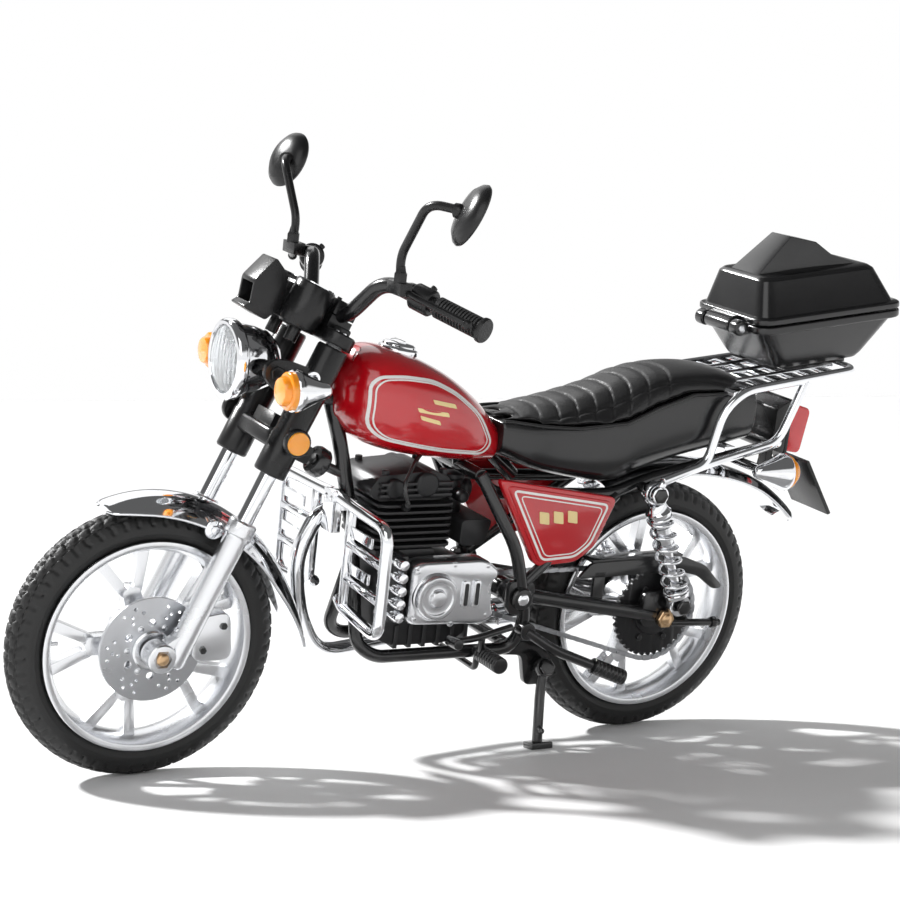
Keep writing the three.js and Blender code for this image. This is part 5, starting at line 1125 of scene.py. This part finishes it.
piece("foot_controls_steel", foot, "chassis", FRAME_BLACK, "foot_controls", bevel=0.12)

# ---- swing arm, chain, shocks
arm_parts = [rod((-21.3, -8.6, 39.3), (-21.3, 8.6, 39.3), 2.6, 32),
    rod((-28.6, -10, 37.9), (-28.6, 10, 37.9), 1.5)]
for side in (1, -1):
    ring = [rod((-21.3, side * 8.4, 39.3), (-21.3, side * 11.3, 39.3), 2.9, 36),
        rod((-21.3, side * 10, 39.3), (-62, side * 10, 31.6), 1.9, 28),
        slab(soft_outline([(-58, 29), (-58, 37.6), (-68.4, 38), (-71, 33.6), (-71, 28.6)], 2),
        side * 10.3 - 1.1, side * 10.3 + 1.1), rod((-65.6, side * 10.6, 35.4),
        (-65.6, side * 17.2, 35.4), 1.2), rod((-65.6, side * 16.6, 35.4), (-65.6, side * 17.8, 35.4),
        1.9, 6, chamfer=0.25), rod((-66, side * 12, 30), (-80.6, side * 12, 29.2), 0.9),
        rod((-78, side * 12, 29.35), (-79.4, side * 12, 29.28), 1.5, 6, chamfer=0.2)]
    arm_parts += ring
GUARD_SIDE = [(-39.5, 41.6), (-43, 45.2), (-60.6, 45.6), (-68.7, 45.8), (-76, 43.2), (-82, 37.4),
    (-79, 37), (-74, 40.6), (-68, 42.2), (-46, 41.6)]
arm_parts += [slab(soft_outline(GUARD_SIDE, 1.2), 8.9, 9.9), slab([(-43, 45.2), (-60.6, 45.6),
    (-68.7, 45.8), (-68.7, 46.5), (-60.6, 46.3), (-43, 45.9)], 5.7, 9.9),
    block((-47, 8.9, 34), (-44, 9.9, 43)), block((-67, 8.9, 37), (-64, 9.9, 43))]
piece("swing_arm_welded", arm_parts, "rear_fork", FRAME_BLACK, "swing_arm", bevel=0.2)

front_ring = (-18.2, 38.6)
span = Vector((front_ring[0] - REAR[0], front_ring[1] - REAR[2]))
heading = math.atan2(span.y, span.x)
lift = math.acos((11.8 - 4.65) / span.length)
links_path = []
for centre, r, a0, a1, n in (((REAR[0], REAR[2]), 11.8, heading + lift, heading + 2 * math.pi - lift,
        60), (front_ring, 4.65, heading - lift, heading + lift, 24)):
    links_path += [(centre[0] + r * math.cos(a0 + (a1 - a0) * k / n),
        centre[1] + r * math.sin(a0 + (a1 - a0) * k / n)) for k in range(n + 1)]
closed = [Vector(p) for p in links_path] + [Vector(links_path[0])]
lengths = [0.0]
for a, b in zip(closed, closed[1:]):
    lengths.append(lengths[-1] + (b - a).length)
count = 2 * round(lengths[-1] / 1.35 / 2)
spots, seg = [], 0
for k in range(count):
    want = lengths[-1] * k / count
    while lengths[seg + 1] < want:
        seg += 1
    f = (want - lengths[seg]) / (lengths[seg + 1] - lengths[seg])
    spots.append(closed[seg].lerp(closed[seg + 1], f))
chain = []
for k, spot in enumerate(spots):
    nxt = spots[(k + 1) % count]
    chain.append(rod((spot.x, 6.15, spot.y), (spot.x, 7.45, spot.y), 0.38, 10, chamfer=0.03))
    along = (nxt - spot).normalized()
    normal = Vector((-along.y, along.x))
    plate = [spot - along * 0.45 + normal * 0.3, spot + normal * 0.5, nxt + normal * 0.5,
        nxt + along * 0.45 + normal * 0.3, nxt + along * 0.45 - normal * 0.3, nxt - normal * 0.5,
        spot - normal * 0.5, spot - along * 0.45 - normal * 0.3]
    for y0, y1 in (((6.2, 6.42), (7.18, 7.4)) if k % 2 else ((6.46, 6.66), (6.94, 7.14))):
        chain.append(slab([tuple(p) for p in plate], y0, y1))
piece("drive_chain_links", chain, "rear_fork", BRUSHED, "drive_chain")

TOP, FOOT = Vector((-54.1, 0, 63.3)), Vector((-65.6, 0, 35.4))
shock_dir = (TOP - FOOT).normalized()
reach = (TOP - FOOT).length
for hand, side in SIDES:
    foot_point = FOOT + Vector((0, side * 15, 0))

    def stem(profile, closed=False, count=36):
        return lathe(profile, foot_point, shock_dir, count, closed)

    def eye(at):
        middle = foot_point + shock_dir * at
        return lathe([(1.5, -side * 1.7), (2.5, -side * 1.7), (2.75, -side * 1.3), (2.75, side * 0.6),
            (2.5, side * 0.9), (1.5, side * 0.9)], middle, (0, 1, 0), 36, True)
    piece(f"shock_body_{hand}_rod", [eye(0), stem([(0.1, 1.6), (1.25, 1.8), (1.25, 18.4), (0.1, 18.5)]),
        stem([(1.2, 2.2), (2.7, 2.4), (3.1, 2.9), (3.1, 3.6), (2.9, 3.8), (1.2, 3.8)], True)],
        "rear_fork", CHROME, f"shock_body_{hand}")
    steps = [(1.65, reach - 15.4), (2.0, reach - 15.3)]
    for k in range(3):
        s = reach - 14 + 2.2 * k
        steps += [(2.0, s), (2.25, s + 0.2), (2.25, s + 0.7), (2.0, s + 0.9)]
    steps += [(2.0, reach - 6.2), (2.9, reach - 5.9), (3.1, reach - 5.4), (3.1, reach - 4.9),
        (2.7, reach - 4.5), (2.3, reach - 3.4), (2.2, reach - 2.6), (0.1, reach - 2.5)]
    piece(f"shock_sleeve_{hand}_turned", [eye(reach), stem(steps)], "chassis", CHROME,
        f"shock_sleeve_{hand}")
    coil = []
    turns, low, high = 7.5, 4.25, reach - 6.4
    side_v, up_v = across(shock_dir)
    for k in range(int(turns * 20) + 1):
        f = k / (turns * 20)
        a = f * turns * 2 * math.pi
        ease = min(1, max(0, (f * turns - 0.8) / (turns - 1.6)))
        s = low + (high - low) * ease + 0.35 * (f - ease)
        coil.append(foot_point + shock_dir * s + side_v * (2.75 * math.cos(a))
            + up_v * (2.75 * math.sin(a)))
    spring = piece(f"shock_spring_{hand}_coil", [tube(coil, 0.42, 0, 10)], "chassis", CHROME,
        f"shock_spring_{hand}", angle=60)
    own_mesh(spring)

# ---- top box
def case_ring(front, rear, half, z, corner, steps=8):
    outline = soft_outline([(front, half), (rear, half), (rear, -half), (front, -half)], corner, steps)
    return [Vector((x, y, z)) for x, y in outline]


tub_rings = [case_ring(*ring) for ring in ((-9.2, -32.6, 10, -10.9, 3.2),
    (-8.4, -33.6, 10.7, -10.8, 3.3), (-7.6, -34.8, 11.4, -9.6, 3.6), (-2.6, -42.4, 13, -1.7, 4.2),
    (-1.4, -44.4, 13.7, -1.6, 4.4), (-1.2, -44.6, 13.9, -1.3, 4.4), (-1.2, -44.6, 13.9, 0.1, 4.4),
    (-1.5, -44.3, 13.6, 0.3, 4.3), (-4.0, -41.0, 11.6, 0.3, 3.4), (-4.0, -41.0, 11.6, -1.6, 3.4),
    (-9, -33.4, 9.8, -9.4, 2.6))]
tub = [sweep_rings(tub_rings)]
for side in (1, -1):
    tub += [rod((0.6, side * 5.4, -0.4), (0.6, side * 8.4, -0.4), 1.9, 36, chamfer=0.3),
        block((-2.4, side * 6.9 - 1.5, -2), (0.4, side * 6.9 + 1.5, 0.2))]
for y in (-8, 8):
    tub.append(block((-30, y - 1.4, -12), (-12, y + 1.4, -10.6)))
piece("top_box_tub", tub, "chassis", CASE_BLACK, "top_box_base", CASE, bevel=0.25, angle=26)

lid_rings = [case_ring(*ring) for ring in ((-4, -41, 11.6, 0.6, 3.4), (-1.5, -44.3, 13.6, 0.6, 4.3),
    (-1.2, -44.6, 13.9, 0.8, 4.4), (-1.2, -44.6, 13.9, 1.9, 4.4), (-1.5, -44.3, 13.6, 2.2, 4.3),
    (-2.4, -43, 12.7, 2.3, 4), (-4.4, -38.6, 10, 10.4, 3.4), (-5.2, -37.4, 9, 11.2, 3),
    (-6.4, -36, 7.8, 11.35, 2.6))]
inner_rings = [case_ring(-6, -36.8, 8.6, 9.4, 2.6), case_ring(-4.4, -40.6, 11.2, 2.6, 3.2)]
lid = [sweep_rings(inner_rings + lid_rings)]
hump = [(-4.8, 10.4, 5.6), (-16.6, 19.2, 4.4), (-24.2, 17.2, 4.6), (-28.6, 13.8, 5.2),
    (-36.6, 10.6, 6.2)]
edge = [[Vector((x, y, 9.8)), Vector((x, y * 0.86 if z > 11 else y, z)),
    Vector((x, -y * 0.86 if z > 11 else -y, z)), Vector((x, -y, 9.8))] for x, z, y in hump]
lid.append(sweep_rings(edge))
lid += [rod((0.6, -4.8, -0.4), (0.6, 4.8, -0.4), 1.7, 36, chamfer=0.25),
    block((-2, -4.6, 0.7), (0.9, 4.6, 1.9)), block((-0.4, -4.6, -0.4), (1.6, 4.6, 1.5))]
for y in (-10.6, 10.6):
    lid.append(block((-26, y - 0.9, 2.2), (-20, y + 0.9, 3.2)))
piece("top_box_lid_faceted", lid, "lid", CASE_BLACK, "top_box_lid", CASE, bevel=0.3, angle=16)
piece("top_box_hinge_pin", [rod((0.6, -8.7, -0.4), (0.6, 8.7, -0.4), 0.65),
    dome((0.6, 8.6, -0.4), (0, 1, 0), 1.1, 0.5), dome((0.6, -8.6, -0.4), (0, -1, 0), 1.1, 0.5)],
    "chassis", BRUSHED, "hinge_pin", CASE)

# ---- floor, light, camera
floor_mesh = bpy.data.meshes.new("floor")
floor_mesh.from_pydata([(-6, -6, 0), (6, -6, 0), (6, 6, 0), (-6, 6, 0)], [], [(0, 1, 2, 3)])
floor = bpy.data.objects.new("floor", floor_mesh)
bpy.context.scene.collection.objects.link(floor)
floor_mesh.materials.append(material("pale_floor", (0.86, 0.86, 0.86), 0.55, 0.0, (NOISE, 400), 0.02,
    vary=0.01))


def area_light(name, place, target, size, power):
    data = bpy.data.lights.new(name, "AREA")
    data.size = size
    data.energy = power
    lamp = bpy.data.objects.new(name, data)
    lamp.location = place
    lamp.rotation_euler = (Vector(target) - Vector(place)).to_track_quat("-Z", "Y").to_euler()
    bpy.context.scene.collection.objects.link(lamp)


SUN_STRENGTH, SUN_SPREAD = 5.2, 4
WALL_TOP, CEILING_START, CEILING_LEVEL = 0.24, 0.36, 0.12
sun_data = bpy.data.lights.new("key", "SUN")
sun_data.energy = SUN_STRENGTH
sun_data.angle = math.radians(SUN_SPREAD)
sun = bpy.data.objects.new("key", sun_data)
sun.rotation_euler = Vector((-0.5, 0.7, -0.74)).to_track_quat("-Z", "Y").to_euler()
bpy.context.scene.collection.objects.link(sun)
area_light("fill", (0.75, 0.8, 0.7), (0, 0, 0.06), 0.9, 4)
area_light("back_panel", (-0.1, -0.8, 0.85), (0, 0, 0.05), 0.8, 2.2)

# white studio walls under a dim ceiling
world = bpy.data.worlds.new("studio")
world.use_nodes = True
sky = world.node_tree
direction = sky.nodes.new("ShaderNodeTexCoord")
split_axes = sky.nodes.new("ShaderNodeSeparateXYZ")
height = sky.nodes.new("ShaderNodeMapRange")
height.inputs["From Min"].default_value = WALL_TOP
height.inputs["From Max"].default_value = CEILING_START
height.inputs["To Min"].default_value = 1.0
height.inputs["To Max"].default_value = CEILING_LEVEL
sky.links.new(direction.outputs["Generated"], split_axes.inputs[0])
sky.links.new(split_axes.outputs["Z"], height.inputs["Value"])
sky.links.new(height.outputs["Result"], sky.nodes["Background"].inputs["Strength"])
sky.nodes["Background"].inputs["Color"].default_value = (1, 1, 1, 1)
bpy.context.scene.world = world
bpy.context.scene.view_settings.view_transform = "Standard"

# the camera is placed on the upright machine, in millimetres and pixels of a 900 x 900 picture
FOCAL, SHIFT, PICTURE, SENSOR = 2070.987, 5, 900, 36
yaw, pitch, roll = -2.10021815, -0.224229, 0.1087745
ahead = Vector((math.cos(pitch) * math.cos(yaw), math.cos(pitch) * math.sin(yaw), math.sin(pitch)))
right = ahead.cross(Vector((0, 0, 1))).normalized()
above = right.cross(ahead)
right, above = (right * math.cos(roll) + above * math.sin(roll),
    above * math.cos(roll) - right * math.sin(roll))
turn = BIKE.to_3x3().normalized()
camera_data = bpy.data.cameras.new("camera")
camera_data.sensor_width = SENSOR
camera_data.lens = FOCAL / PICTURE * SENSOR
camera_data.shift_x = SHIFT / PICTURE
camera = bpy.data.objects.new("camera", camera_data)
basis = Matrix((turn @ right, turn @ above, turn @ -ahead)).transposed()
camera.matrix_world = Matrix.Translation(BIKE @ Vector((224.788, 393.847, 174.811))) @ basis.to_4x4()
bpy.context.scene.collection.objects.link(camera)
bpy.context.scene.camera = camera
